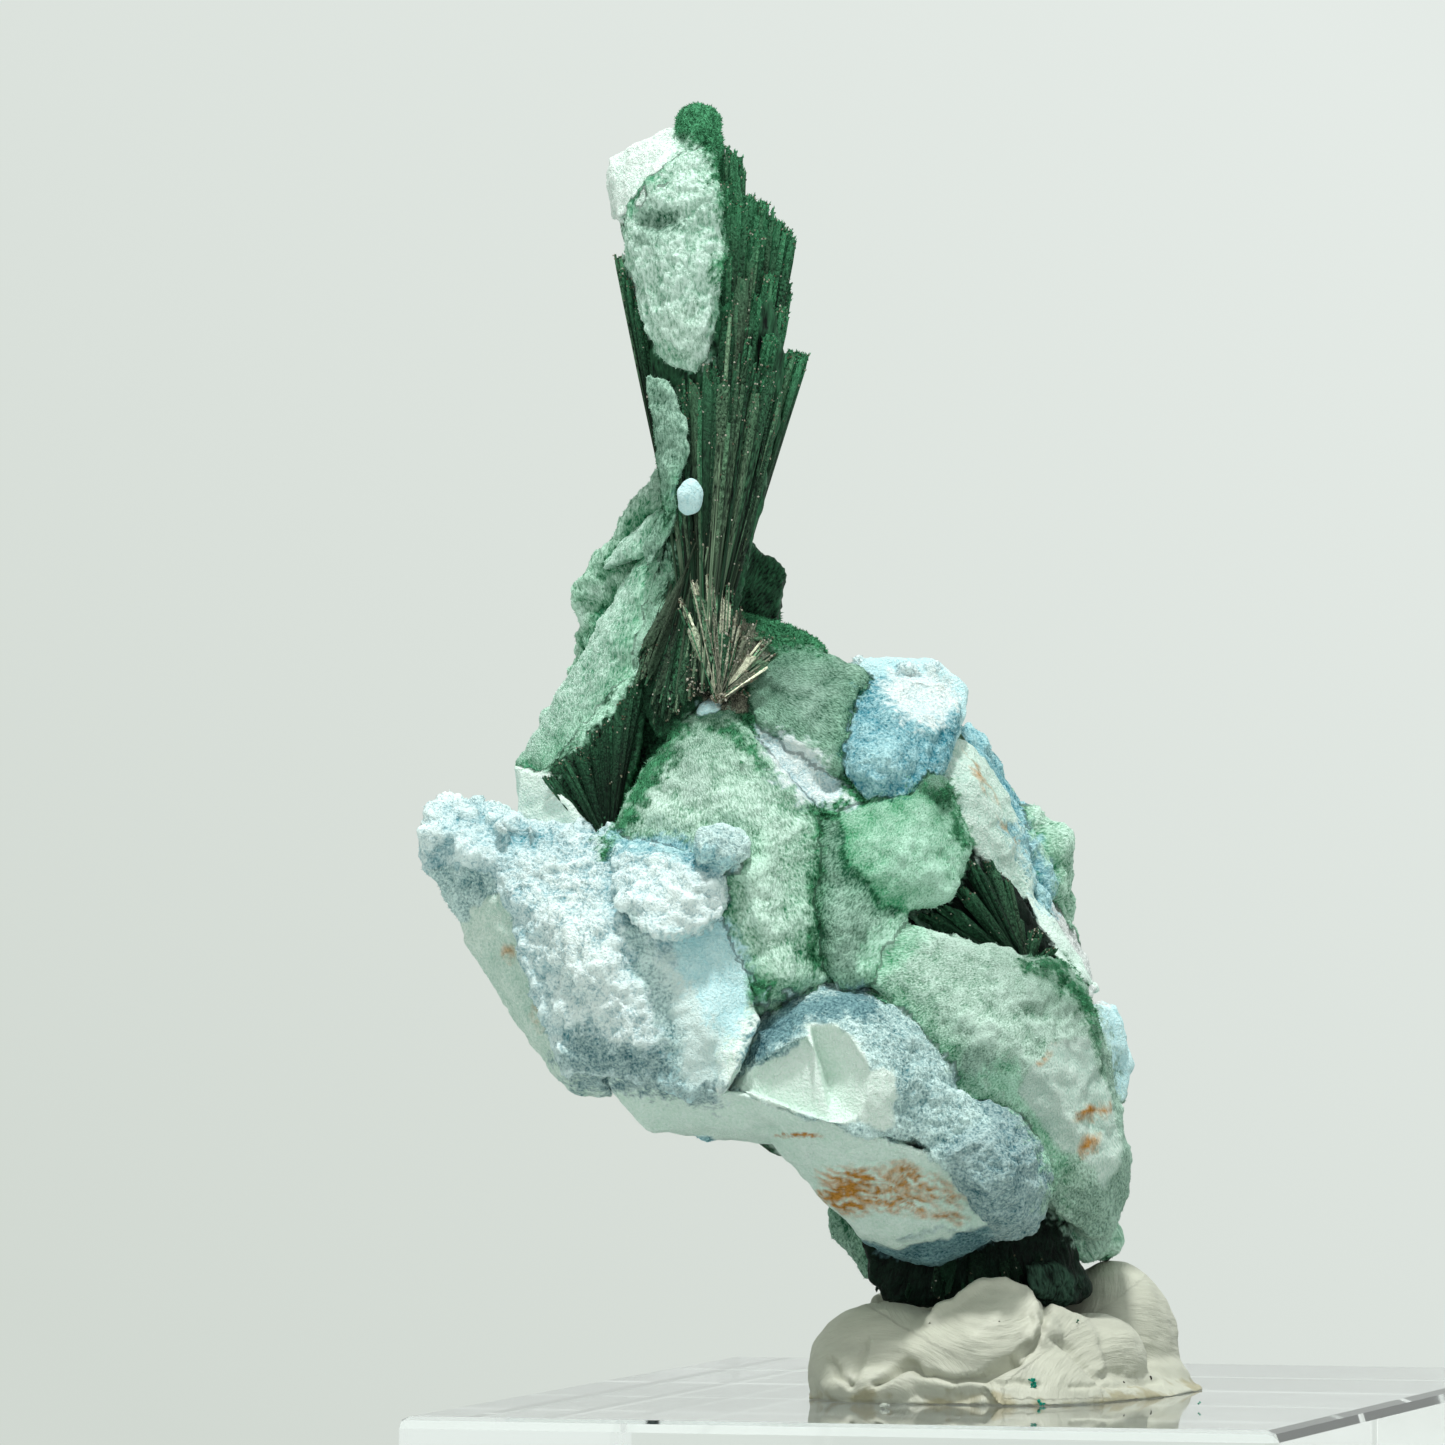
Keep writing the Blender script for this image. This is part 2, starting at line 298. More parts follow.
# Rounded growths: centre (x, z, y) and half sizes across, up and away.
DOMES = {
    "tip_button": ((-12.6, 67.45, -1.6), (0.9, 1.42, 1.15)),
    "shaft_pearl": ((-13.0, 51.75, -5.5), (0.58, 0.8, 0.5)),
    "button": ((-11.65, 36.45, -9.0), (1.38, 1.1, 1.1)),
    "knob": ((-2.3, 39.0, -4.9), (0.7, 0.62, 0.9)),
    "tent_pearl": ((-12.2, 42.5, -4.9), (0.5, 0.42, 0.5)),
    "ledge_root": ((-17.0, 36.8, -2.4), (0.7, 0.6, 0.9)),
    "hollow_root": ((2.2, 31.3, -1.3), (0.9, 0.7, 1.2)),
    "back_crown": ((-10.4, 40.0, 4.6), (4.4, 4.6, 3.6)),
    "back_belly": ((-5.4, 31.4, 5.6), (6.6, 6.4, 4.4)),
    "back_left": ((-14.6, 33.4, 3.2), (5.4, 4.8, 4.4)),
    "back_low": ((0.2, 24.4, 4.6), (4.6, 4.6, 3.8)),
    "back_right": ((1.0, 35.0, 4.6), (2.8, 3.6, 2.8)),
}

# Rings of a dome, as shares of its outline's size and of the way from its base to its shoulder.
CAP_RINGS = ((0.9, 0.55), (0.66, 1.0), (0.35, 1.38))

# Size of the mesh of the domes once their windows are cut.
WINDOW_MESH = 0.085

# How much the foot of a dome flares, to close with its neighbours.
FLARE = 1.08

# Two overlapping domes of blue-grey chrysocolla: outline, crown and the edge broken off below.
DOME_A = dict(
    rim=[(-11.3, 26.0), (-10.9, 27.2), (-10.2, 28.5), (-9.3, 29.4), (-8.2, 30.05), (-7.2, 30.4),
         (-6.0, 30.45), (-5.0, 30.15), (-4.0, 29.6), (-3.0, 28.9), (-2.1, 27.8), (-1.5, 26.9),
         (-1.2, 25.8), (-2.6, 23.4), (-5.5, 23.9), (-7.0, 24.3), (-9.6, 25.2)],
    base=-7.4, shoulder=-10.4, crown=(-6.4, 26.6, -11.9), middle=(-6.2, 26.4),
    edge=[(-10.6, 25.6, -10.0), (-9.4, 25.2, -10.6), (-7.0, 24.35, -11.2), (-5.6, 23.95, -11.2),
          (-3.9, 23.7, -10.8)])
DOME_B = dict(
    rim=[(-1.3, 25.3), (0.0, 25.5), (0.9, 25.2), (1.6, 24.5), (2.2, 23.5), (2.55, 22.4), (2.7, 21.4),
         (2.4, 20.5), (1.9, 19.9), (1.0, 19.5), (0.2, 19.5), (-0.6, 20.8), (-2.4, 22.8), (-3.6, 24.2)],
    base=-6.6, shoulder=-9.6, crown=(-0.2, 23.0, -10.7), middle=(-0.3, 22.6),
    edge=[(-1.9, 22.6, -10.2), (-0.9, 21.6, -9.7), (0.4, 20.5, -8.9)])

# Broken windows in the large dome: a flat cut on the left, and a pit with a lit floor right of it.
WINDOW_FRONT = -13.5
CUTS = {
    "flat": dict(
        ring=[(-10.9, 26.2, -9.1), (-9.7, 27.3, -9.6), (-8.7, 27.5, -10.0), (-7.9, 28.2, -10.3),
              (-7.0, 26.4, -10.7), (-6.9, 24.5, -10.8), (-8.3, 24.95, -10.2), (-10.7, 25.9, -9.2)],
        floor=[]),
    "pit": dict(
        ring=[(-7.8, 28.8, -10.4), (-6.7, 28.75, -10.7), (-6.0, 28.2, -11.0), (-5.1, 26.7, -11.6),
              (-5.3, 25.4, -11.5), (-5.7, 24.7, -11.3), (-6.3, 24.45, -11.2), (-6.95, 24.5, -11.0)],
        floor=[(-7.6, 28.2, -10.0), (-7.0, 26.5, -9.6), (-6.95, 25.9, -9.8)]),
}

# Sprays of malachite blades: every blade runs from near the root to its own tip.
# A tip is (x, z, y, half width, chisel), chisel being how much lower its right side ends, if at all.
SPRAYS = {
    "spire": dict(root=(-12.1, 44.6, -2.2), spread=0.16, tips=[
        (-11.25, 67.0, -1.9, 0.85, 0.5), (-10.95, 66.3, -0.6, 0.55, 0.3), (-9.85, 64.7, -1.7, 0.62, 0.4),
        (-10.35, 65.0, -1.6, 0.5, 0.1), (-9.3, 63.9, -1.4, 0.45, 0.1), (-10.2, 63.4, -2.5, 0.55, 0.1),
        (-8.9, 62.6, -1.2, 0.4, 0.1), (-11.0, 64.7, -3.2, 0.5, 0.1), (-9.9, 61.6, -2.4, 0.4, 0.1),
        (-9.7, 64.2, -0.2, 0.5, 0.3), (-8.75, 63.4, -1.3, 0.56, 0.4), (-8.85, 61.2, -0.2, 0.4, 0.2),
        (-8.95, 60.0, -2.0, 0.4, 0.2), (-8.35, 58.2, -1.6, 0.58, 0.3), (-8.9, 57.0, 0.2, 0.5, 0.3),
        (-10.6, 60.8, -3.4, 0.85, 0.1), (-9.5, 61.4, -2.9, 0.46, 0.1), (-9.5, 58.8, -3.5, 0.4, 0.1),
        (-11.45, 62.4, -3.3, 0.42, 0.1), (-11.3, 65.5, -3.0, 0.55, 0.2), (-12.0, 57.3, -4.2, 0.36, 0.1),
        (-10.9, 57.1, -4.1, 0.32, 0.1), (-9.6, 57.0, -3.7, 0.34, 0.1), (-12.9, 64.6, 0.4, 0.8, -0.3),
        (-14.4, 62.4, 0.2, 0.8, -0.6), (-15.3, 60.4, -1.0, 0.6, -0.5), (-11.4, 61.0, 1.4, 0.9, 0.4),
        (-13.4, 58.0, 1.6, 0.8, -0.3)]),
    "hollow": dict(root=(1.7, 31.0, -3.6), spread=0.2, tips=[
        (-3.0, 33.6, -5.6, 0.42), (-2.1, 34.0, -5.4, 0.42), (-1.3, 34.8, -5.0, 0.42),
        (-0.9, 36.0, -4.4, 0.46), (-0.1, 36.0, -3.4, 0.46), (0.6, 35.2, -3.0, 0.44),
        (1.1, 34.0, -3.0, 0.4), (2.1, 33.0, -3.0, 0.4), (3.0, 32.1, -3.4, 0.38)]),
    "neck": dict(root=(-12.9, 50.6, -3.2), spread=0.25, tips=[
        (-15.2, 43.3, -3.8, 0.5), (-14.5, 41.8, -4.6, 0.5), (-13.7, 42.2, -5.1, 0.45),
        (-13.0, 43.2, -5.3, 0.36), (-11.6, 43.6, -5.0, 0.4)]),
    "fringe": dict(root=(-12.6, 45.4, -2.8), spread=0.2, tips=[
        (-9.2, 45.6, -3.2, 0.32), (-8.2, 45.5, -2.6, 0.32), (-10.0, 44.4, -4.2, 0.36),
        (-10.6, 43.0, -5.0, 0.4)]),
    "foot": dict(root=(-0.4, 25.0, -1.6), spread=0.8, tips=[
        (-4.6, 17.0, -2.6, 0.7), (-3.4, 16.7, -3.6, 0.7), (-2.0, 16.7, -4.2, 0.7),
        (-0.4, 16.8, -4.4, 0.75), (1.2, 16.8, -4.2, 0.7), (2.6, 16.9, -3.6, 0.6), (3.9, 17.0, -2.0, 0.6),
        (-4.2, 17.2, 1.0, 0.9), (-1.0, 16.9, 4.2, 1.0), (2.4, 17.0, 3.4, 0.9)]),
    "back": dict(root=(-9.0, 31.0, 2.0), spread=0.8, tips=[
        (-13.6, 45.0, 5.2, 1.2, 0.4), (-11.4, 46.2, 5.8, 1.2, -0.3), (-9.0, 45.4, 6.2, 1.2, 0.4),
        (-6.6, 43.8, 6.6, 1.2, 0.4), (-15.8, 43.0, 5.6, 1.2, -0.4), (-4.2, 41.6, 6.8, 1.2, 0.5),
        (-12.6, 41.6, 8.0, 1.3), (-9.6, 41.8, 8.6, 1.3), (-6.4, 39.8, 9.0, 1.3), (-16.6, 38.6, 6.4, 1.3),
        (-2.6, 38.0, 8.0, 1.2), (-13.4, 37.0, 8.6, 1.3)]),
    "shaft": dict(root=(-12.5, 43.4, -5.2), spread=0.5, tips=[
        (-14.3, 57.0, -3.4, 0.36), (-13.8, 56.0, -4.0, 0.36), (-13.3, 57.2, -4.3, 0.36),
        (-12.7, 57.0, -4.6, 0.36), (-12.1, 58.0, -4.7, 0.36), (-11.5, 57.4, -4.7, 0.36),
        (-10.9, 58.4, -4.6, 0.36), (-10.4, 58.8, -4.3, 0.36), (-9.9, 57.8, -4.0, 0.36),
        (-9.4, 57.6, -3.6, 0.36), (-9.0, 56.4, -3.1, 0.36), (-11.2, 60.6, -4.2, 0.4),
        (-10.6, 62.0, -3.6, 0.4)]),
    "dusty_fan": dict(root=(-11.7, 43.0, -5.5), spread=0.3, tips=[
        (-13.4, 47.4, -5.2, 0.34), (-12.8, 48.2, -5.2, 0.34), (-12.1, 48.6, -5.1, 0.34),
        (-11.4, 48.0, -5.0, 0.34), (-10.8, 47.0, -4.8, 0.34), (-10.2, 46.3, -4.6, 0.34),
        (-9.6, 45.6, -4.4, 0.34), (-9.2, 45.0, -4.6, 0.3), (-9.6, 44.4, -5.0, 0.3)]),
    "rod": dict(root=(-14.1, 52.2, -2.9), spread=0.14, tips=[
        (-16.1, 62.3, -2.3, 0.22, 0.2), (-15.8, 61.5, -2.6, 0.2), (-15.4, 60.6, -3.0, 0.2)]),
    "ledge_face": dict(root=(-16.5, 36.2, -3.9), spread=0.2, tips=[
        (-19.3, 39.6, -2.7, 0.3), (-18.6, 40.3, -3.0, 0.3), (-17.9, 40.9, -3.2, 0.3),
        (-17.2, 41.6, -3.4, 0.3), (-16.6, 42.2, -3.5, 0.3), (-16.0, 42.9, -3.6, 0.3),
        (-15.5, 43.5, -3.7, 0.3), (-15.1, 43.9, -3.7, 0.3)]),
    "neck_front": dict(root=(-12.5, 49.6, -4.9), spread=0.3, tips=[
        (-15.2, 44.6, -3.8, 0.34), (-14.9, 43.4, -4.2, 0.34), (-14.5, 42.4, -4.6, 0.34),
        (-14.0, 41.9, -4.9, 0.34), (-13.5, 42.2, -5.1, 0.34), (-13.0, 42.8, -5.2, 0.34),
        (-12.4, 43.2, -5.2, 0.34), (-11.8, 43.4, -5.2, 0.34)]),
}

# Beads of chrysocolla that crowd a surface: middle, spread across, up and away, size, count.
BEADS = {
    "end_beads": ((-23.0, 37.4, -3.2), (1.3, 0.9, 1.2), 0.55, 14),
    "slab_top": ((-18.6, 36.8, -4.6), (2.6, 0.5, 0.6), 0.5, 12),
    "cup": ((-4.0, 44.2, -0.8), (1.6, 0.2, 0.4), 0.45, 6),
    "crust_beads": ((1.8, 36.2, 2.6), (0.6, 1.2, 1.4), 0.55, 8),
    "shoulder": ((5.2, 27.6, 2.6), (0.6, 1.6, 1.4), 0.65, 10),
    "belly_beads": ((-5.0, 30.6, 9.0), (3.6, 3.4, 0.6), 1.15, 14),
    "left_beads": ((-15.4, 32.6, 6.4), (2.8, 2.6, 0.8), 1.0, 11),
    "low_beads": ((0.6, 24.0, 7.6), (2.4, 2.4, 0.6), 0.9, 9),
}

# The putty: fat folds pressed round the foot, with a skirt that spreads on the block.
# A point drawn below the block's top lies on it.
PUTTY = {
    "pad": [
        (-7.4, 12.0, 5.0), (-7.9, 12.0, -6.4), (-6.6, 12.0, -8.4), (-3.0, 12.0, -9.9), (1.0, 12.0, -10.9),
        (4.6, 12.0, -9.9), (8.0, 12.0, -4.0), (9.4, 12.0, 1.0), (9.2, 12.0, 6.0), (5.0, 12.0, 11.2),
        (-3.0, 12.0, 10.0), (-6.6, 13.6, 3.4), (-7.0, 13.5, -6.0), (-3.0, 13.5, -9.0), (3.6, 13.5, -9.0),
        (7.0, 13.5, -2.0), (6.8, 13.8, 6.0), (0.0, 14.6, 8.0)],
    "skirt": [
        (4.6, 12.0, 0.0), (9.5, 12.0, 2.6), (9.3, 12.0, 5.4), (5.0, 12.0, 9.0), (8.2, 13.3, 3.2),
        (6.0, 13.6, 1.6), (7.0, 13.6, 6.4)],
    "tongue": [
        (-2.4, 15.8, -8.4), (-2.1, 16.5, -7.9), (-1.4, 16.75, -7.8), (-0.9, 17.15, -7.7),
        (-0.1, 17.6, -7.6), (0.7, 17.7, -7.6), (1.3, 17.5, -7.7), (1.7, 17.1, -7.9), (2.1, 16.5, -8.3),
        (2.3, 15.8, -8.8), (2.0, 15.1, -9.5), (1.2, 14.4, -10.1), (-0.1, 13.8, -10.4), (-1.4, 13.5, -10.3),
        (-2.7, 13.7, -9.8), (-3.6, 14.3, -9.2), (0.4, 15.9, -9.7), (-0.8, 15.0, -10.3), (0.2, 16.9, -6.4),
        (-2.6, 15.4, -6.4), (1.9, 16.0, -6.6), (-0.6, 13.9, -7.0)],
    "under_fold": [
        (0.4, 14.5, -9.4), (1.8, 15.0, -9.0), (3.2, 14.8, -8.4), (4.3, 13.9, -8.4), (5.0, 13.0, -8.8),
        (5.2, 12.0, -9.4), (2.8, 12.0, -11.2), (0.4, 12.0, -11.4), (-0.4, 13.2, -10.3), (1.7, 14.0, -10.3),
        (3.0, 13.4, -10.2), (2.0, 14.0, -6.0)],
    "right_flank": [
        (1.6, 16.9, -6.8), (2.6, 16.6, -6.2), (3.8, 16.1, -6.0), (4.7, 15.2, -6.2), (5.2, 13.8, -7.0),
        (4.4, 13.0, -8.2), (2.4, 13.6, -8.6), (1.8, 15.8, -8.0), (2.0, 16.4, -3.6), (4.8, 15.8, -3.6),
        (5.4, 13.4, -4.0)],
    "rear_saddle": [
        (-5.6, 15.6, 6.4), (-5.0, 17.0, 7.0), (-2.0, 17.4, 7.6), (2.0, 17.6, 7.4), (4.6, 17.6, 6.8),
        (6.0, 15.6, 6.8), (5.6, 12.0, 11.0), (-4.6, 12.0, 10.6), (-4.4, 16.4, 9.6), (3.6, 16.8, 10.0)],
}

# Rounded lumps of the putty: centre (x, z, y) and half sizes across, up and away.
PUTTY_DOMES = {
    "left": ((-4.4, 14.0, -5.2), (3.4, 2.65, 3.6)),
    "left_side": ((-6.1, 13.4, -6.0), (1.75, 2.0, 2.6)),
    "left_foot": ((-4.3, 12.9, -8.0), (3.0, 1.1, 1.9)),
    "middle": ((-1.6, 13.9, -6.2), (3.6, 2.4, 3.4)),
    "rear": ((5.5, 14.2, 4.4), (2.95, 4.25, 5.0)),
    "rear_low": ((6.4, 12.9, 3.6), (2.6, 1.9, 4.6)),
    "bridge": ((4.6, 14.0, -2.0), (2.4, 2.2, 4.2)),
    "under_tongue": ((-0.9, 13.2, -8.7), (2.9, 1.25, 1.8)),
    "behind_tongue": ((2.2, 15.0, -7.4), (1.1, 1.4, 1.9)),
    "saddle": ((0.2, 14.2, 8.2), (5.9, 3.0, 3.1)),
}

# How many fibres each blade of a spray is split into, how thick they are, how uneven their ends
# are, and how green and how dusty they are.
SPLITS = {
    "spire": (17, 0.12, 0.14, 1.0, 0.4), "shaft": (9, 0.09, 1.4, 0.45, 0.5),
    "rod": (5, 0.08, 0.4, 0.6, 0.3), "ledge_face": (9, 0.07, 0.12, 0.45, 0.3),
    "neck_front": (9, 0.07, 0.5, 0.15, 0.55), "neck": (7, 0.09, 0.5, 0.1, 0.5),
    "dusty_fan": (15, 0.045, 0.7, 0.1, 1.4), "fringe": (7, 0.08, 0.3, 0.6, 0.6),
    "hollow": (9, 0.08, 0.12, 0.35, 0.5), "foot": (8, 0.12, 0.1, 0.1, 0.3),
    "back": (8, 0.22, 0.4, 1.0, 0.3),
}

# The sprays that make one mesh.
BLADE_GROUPS = {
    "spire_blades": ("spire", "shaft", "rod"),
    "body_blades": ("ledge_face", "neck", "neck_front", "dusty_fan", "fringe", "hollow", "foot"),
    "back_blades": ("back",),
}

# How much lighter or darker than the others the fibres of some sprays are.
FIBRE_TONE = {"foot": 0.16, "hollow": 0.32, "ledge_face": 0.14, "dusty_fan": 1.9}

# Coats of the surface: light and dark colour of the grains as seen in full light, the share of
# light grains, the silkiness, and the heights of lumps, grains and fibres in millimetres.
COATS = {
    "white": ((243, 255, 249), (182, 224, 204), 0.80, 0.0, 0.06, 0.040, 0.0),
    "frost": ((222, 249, 236), (60, 142, 102), 0.68, 0.0, 0.12, 0.070, 0.02),
    "mint": ((222, 249, 235), (42, 124, 82), 0.70, 0.0, 0.16, 0.075, 0.04),
    "bright": ((206, 248, 226), (64, 158, 108), 0.68, 0.0, 0.13, 0.060, 0.04),
    "velvet": ((92, 174, 126), (8, 66, 36), 0.44, 0.1, 0.06, 0.070, 0.08),
    "grey": ((180, 213, 196), (38, 92, 66), 0.60, 0.0, 0.12, 0.060, 0.02),
    "silk": ((60, 116, 82), (3, 11, 8), 0.38, 0.8, 0.04, 0.010, 0.11),
    "dusty": ((178, 180, 158), (8, 17, 12), 0.32, 0.3, 0.05, 0.030, 0.11),
    "black": ((20, 44, 32), (2, 7, 5), 0.36, 0.6, 0.06, 0.020, 0.11),
    "moss": ((64, 96, 80), (5, 16, 11), 0.30, 0.1, 0.08, 0.060, 0.06),
    "smooth": ((226, 245, 241), (198, 226, 224), 0.66, 0.0, 0.07, 0.020, 0.0),
    "slab": ((240, 254, 251), (70, 146, 160), 0.88, 0.0, 0.30, 0.150, 0.0),
    "sky": ((216, 248, 249), (176, 226, 232), 0.62, 0.0, 0.05, 0.020, 0.0),
    "blue": ((192, 234, 236), (42, 128, 146), 0.58, 0.0, 0.15, 0.085, 0.0),
    "shade": ((190, 216, 214), (52, 104, 114), 0.54, 0.0, 0.15, 0.090, 0.0),
    "slate": ((218, 244, 240), (60, 120, 128), 0.66, 0.0, 0.15, 0.090, 0.0),
    "lavender": ((240, 251, 248), (168, 204, 210), 0.74, 0.0, 0.06, 0.040, 0.0),
    "cream": ((238, 253, 245), (212, 240, 224), 0.66, 0.0, 0.05, 0.012, 0.0),
    "matrix": ((232, 251, 242), (202, 234, 218), 0.62, 0.0, 0.09, 0.016, 0.0),
    "side": ((224, 242, 232), (164, 204, 188), 0.60, 0.0, 0.12, 0.035, 0.0),
    "deep": ((144, 186, 190), (38, 84, 94), 0.50, 0.0, 0.06, 0.040, 0.0),
    "crystal": ((240, 246, 243), (150, 160, 158), 0.55, 0.2, 0.05, 0.020, 0.0),
    "rust": ((206, 146, 66), (140, 94, 36), 0.45, 0.0, 0.02, 0.015, 0.0),
}
COAT_NAMES = list(COATS)

# Coats with sharp borders, coats with a blue or a green rim, and coats that rust stains.
CRISP = [COAT_NAMES.index(name) for name in ("cream", "matrix", "white", "side")]
BLUES = [COAT_NAMES.index(name) for name in ("slab", "blue", "lavender")]
GREENS = [COAT_NAMES.index(name) for name in ("mint", "bright", "grey", "frost")]
STAINED = [COAT_NAMES.index(name) for name in ("matrix", "cream", "side", "frost")]

# Lumps whose grain runs along their fibres, and the length of the pile that stands on each coat.
FIBROUS = ("spire_shaft", "neck", "hollow", "foot")
PILE_LENGTH = {"velvet": 0.16, "bright": 0.13, "mint": 0.11, "frost": 0.10, "grey": 0.10, "slab": 0.12,
               "slate": 0.12, "blue": 0.10, "lavender": 0.06}
FUZZ = [PILE_LENGTH.get(name, 0.0) for name in COAT_NAMES]

# Where the pile can stand: points, directions, colours and lengths, which the lumps and blades add.
PILE = []

# The coat of each growth. Those that no line names are mint.
COAT_OF = {
    "velvet": "spire_tip tip_button valley junction neck_laminae",
    "moss": "foot_lump",
    "white": "spire_head slab_facet head_cover",
    "frost": "spire_face ledge ledge_strip right_crust foot_right back_crown face_skin crust_beads",
    "black": "foot dark_hollow",
    "silk": "spire_core spire_rod spire_shaft neck_left neck_block heart ledge_root ledge_fan",
    "dusty": "neck_middle hollow_root",
    "grey": "grey_lobe grey_slope knob foot_left ribbon_cover ribbon_foot",
    "bright": "mint_lobe",
    "slab": "slab slab_cap rough_end end_beads slab_top cup",
    "sky": "cup_rim slab_hollow shaft_pearl tent_pearl right_shoulder shoulder",
    "blue": "cup_bulge cup_fill tooth back_left back_belly right_plate belly_beads left_beads",
    "shade": "dome_small",
    "slate": "button rough_end_low dome_large dome_join",
    "lavender": "lavender_bed",
    "cream": "ledge_cut window_ridge",
    "matrix": "underside underside_left right_skirt",
    "side": "slab_core slab_side end_joint right_wall",
    "deep": "dome_lip",
    "crystal": "right_crystal",
}

# Where the fibres of a growth run from, and where those of the others do.
NO_APEX = (-9.0, 34.0, 0.0)
APEX_OF = {
    (-12.4, 43.6, -2.4): "tent valley grey_slope junction spire_core spire_rod spire_shaft "
                         "neck_left neck_middle neck_laminae neck_block ribbon_cover face_skin "
                         "spire_face spire_head",
    (-2.2, 39.4, -2.8): "mint_lobe grey_lobe knob",
    (1.9, 31.0, -3.4): "dark_hollow hollow_root lower_face",
    (-16.6, 36.4, -2.4): "ledge ledge_cut ledge_strip ledge_plate ledge_root ledge_fan",
    (-0.4, 26.0, -1.6): "foot foot_lump foot_left foot_right",
}

# The lumps that the specimen is finished in: growths, size of the mesh and rounds of smoothing.
LUMPS = {
    "spire_crust": ("spire_tip spire_head head_cover spire_face face_skin tip_button", 0.10, 7),
    "ribbon": ("ribbon_cover ribbon_foot shaft_pearl tent_pearl", 0.10, 6),
    "spire_shaft": ("spire_core spire_rod spire_shaft", 0.11, 4),
    "ledge": ("ledge_plate ledge_strip ledge ledge_cut ledge_root ledge_fan", 0.12, 6),
    "neck": ("neck_left neck_middle neck_laminae neck_block", 0.11, 5),
    "body": ("valley tent grey_slope lavender_bed junction mint_lobe grey_lobe knob lower_face", 0.15, 20),
    "cup": ("cup_bulge cup_fill cup_rim cup", 0.11, 16),
    "hollow": ("dark_hollow hollow_root", 0.12, 5),
    "right_side": ("right_plate right_crust right_crystal right_shoulder right_wall right_skirt "
                   "crust_beads shoulder", 0.13, 6),
    "slab": ("slab slab_cap slab_hollow slab_facet rough_end rough_end_low end_joint slab_core "
             "slab_side button end_beads slab_top", 0.125, 13),
    "domes": ("dome_large dome_small dome_join window_ridge", 0.10, 8),
    "underside": ("underside_left underside dome_lip tooth", 0.13, 4),
    "foot": ("foot foot_lump foot_left foot_right", 0.13, 5),
    "back": ("heart back_crown back_belly back_left back_low back_right belly_beads left_beads low_beads",
             0.17, 6),
}

# Hollows pressed into the front: middle (x, z), half sizes, depth, and how far back they reach.
DENTS = [
    (-14.4, 63.8, 1.3, 0.75, 0.5, -1.0), (-2.9, 43.0, 1.7, 1.5, 0.6, 1.5),
    (-4.6, 41.2, 0.9, 0.9, 0.25, 1.0), (-9.0, 43.0, 1.6, 1.0, 0.35, 0.0),
    (-19.0, 34.4, 0.9, 1.4, 0.3, -3.0), (-15.6, 31.6, 0.8, 1.2, 0.3, -6.0),
    (-22.4, 34.9, 0.8, 0.7, 0.4, -2.0), (-13.9, 34.6, 1.3, 0.8, 0.2, -7.0),
    (-10.6, 36.9, 1.2, 1.6, 0.3, -5.0), (-8.9, 35.2, 1.0, 2.4, 0.35, -4.0),
    (-9.0, 30.6, 1.9, 1.7, -1.0, -4.0), (-3.9, 36.2, 1.6, 1.3, 0.4, -4.0),
    (-6.4, 39.4, 1.4, 0.9, 0.4, -2.0),
]

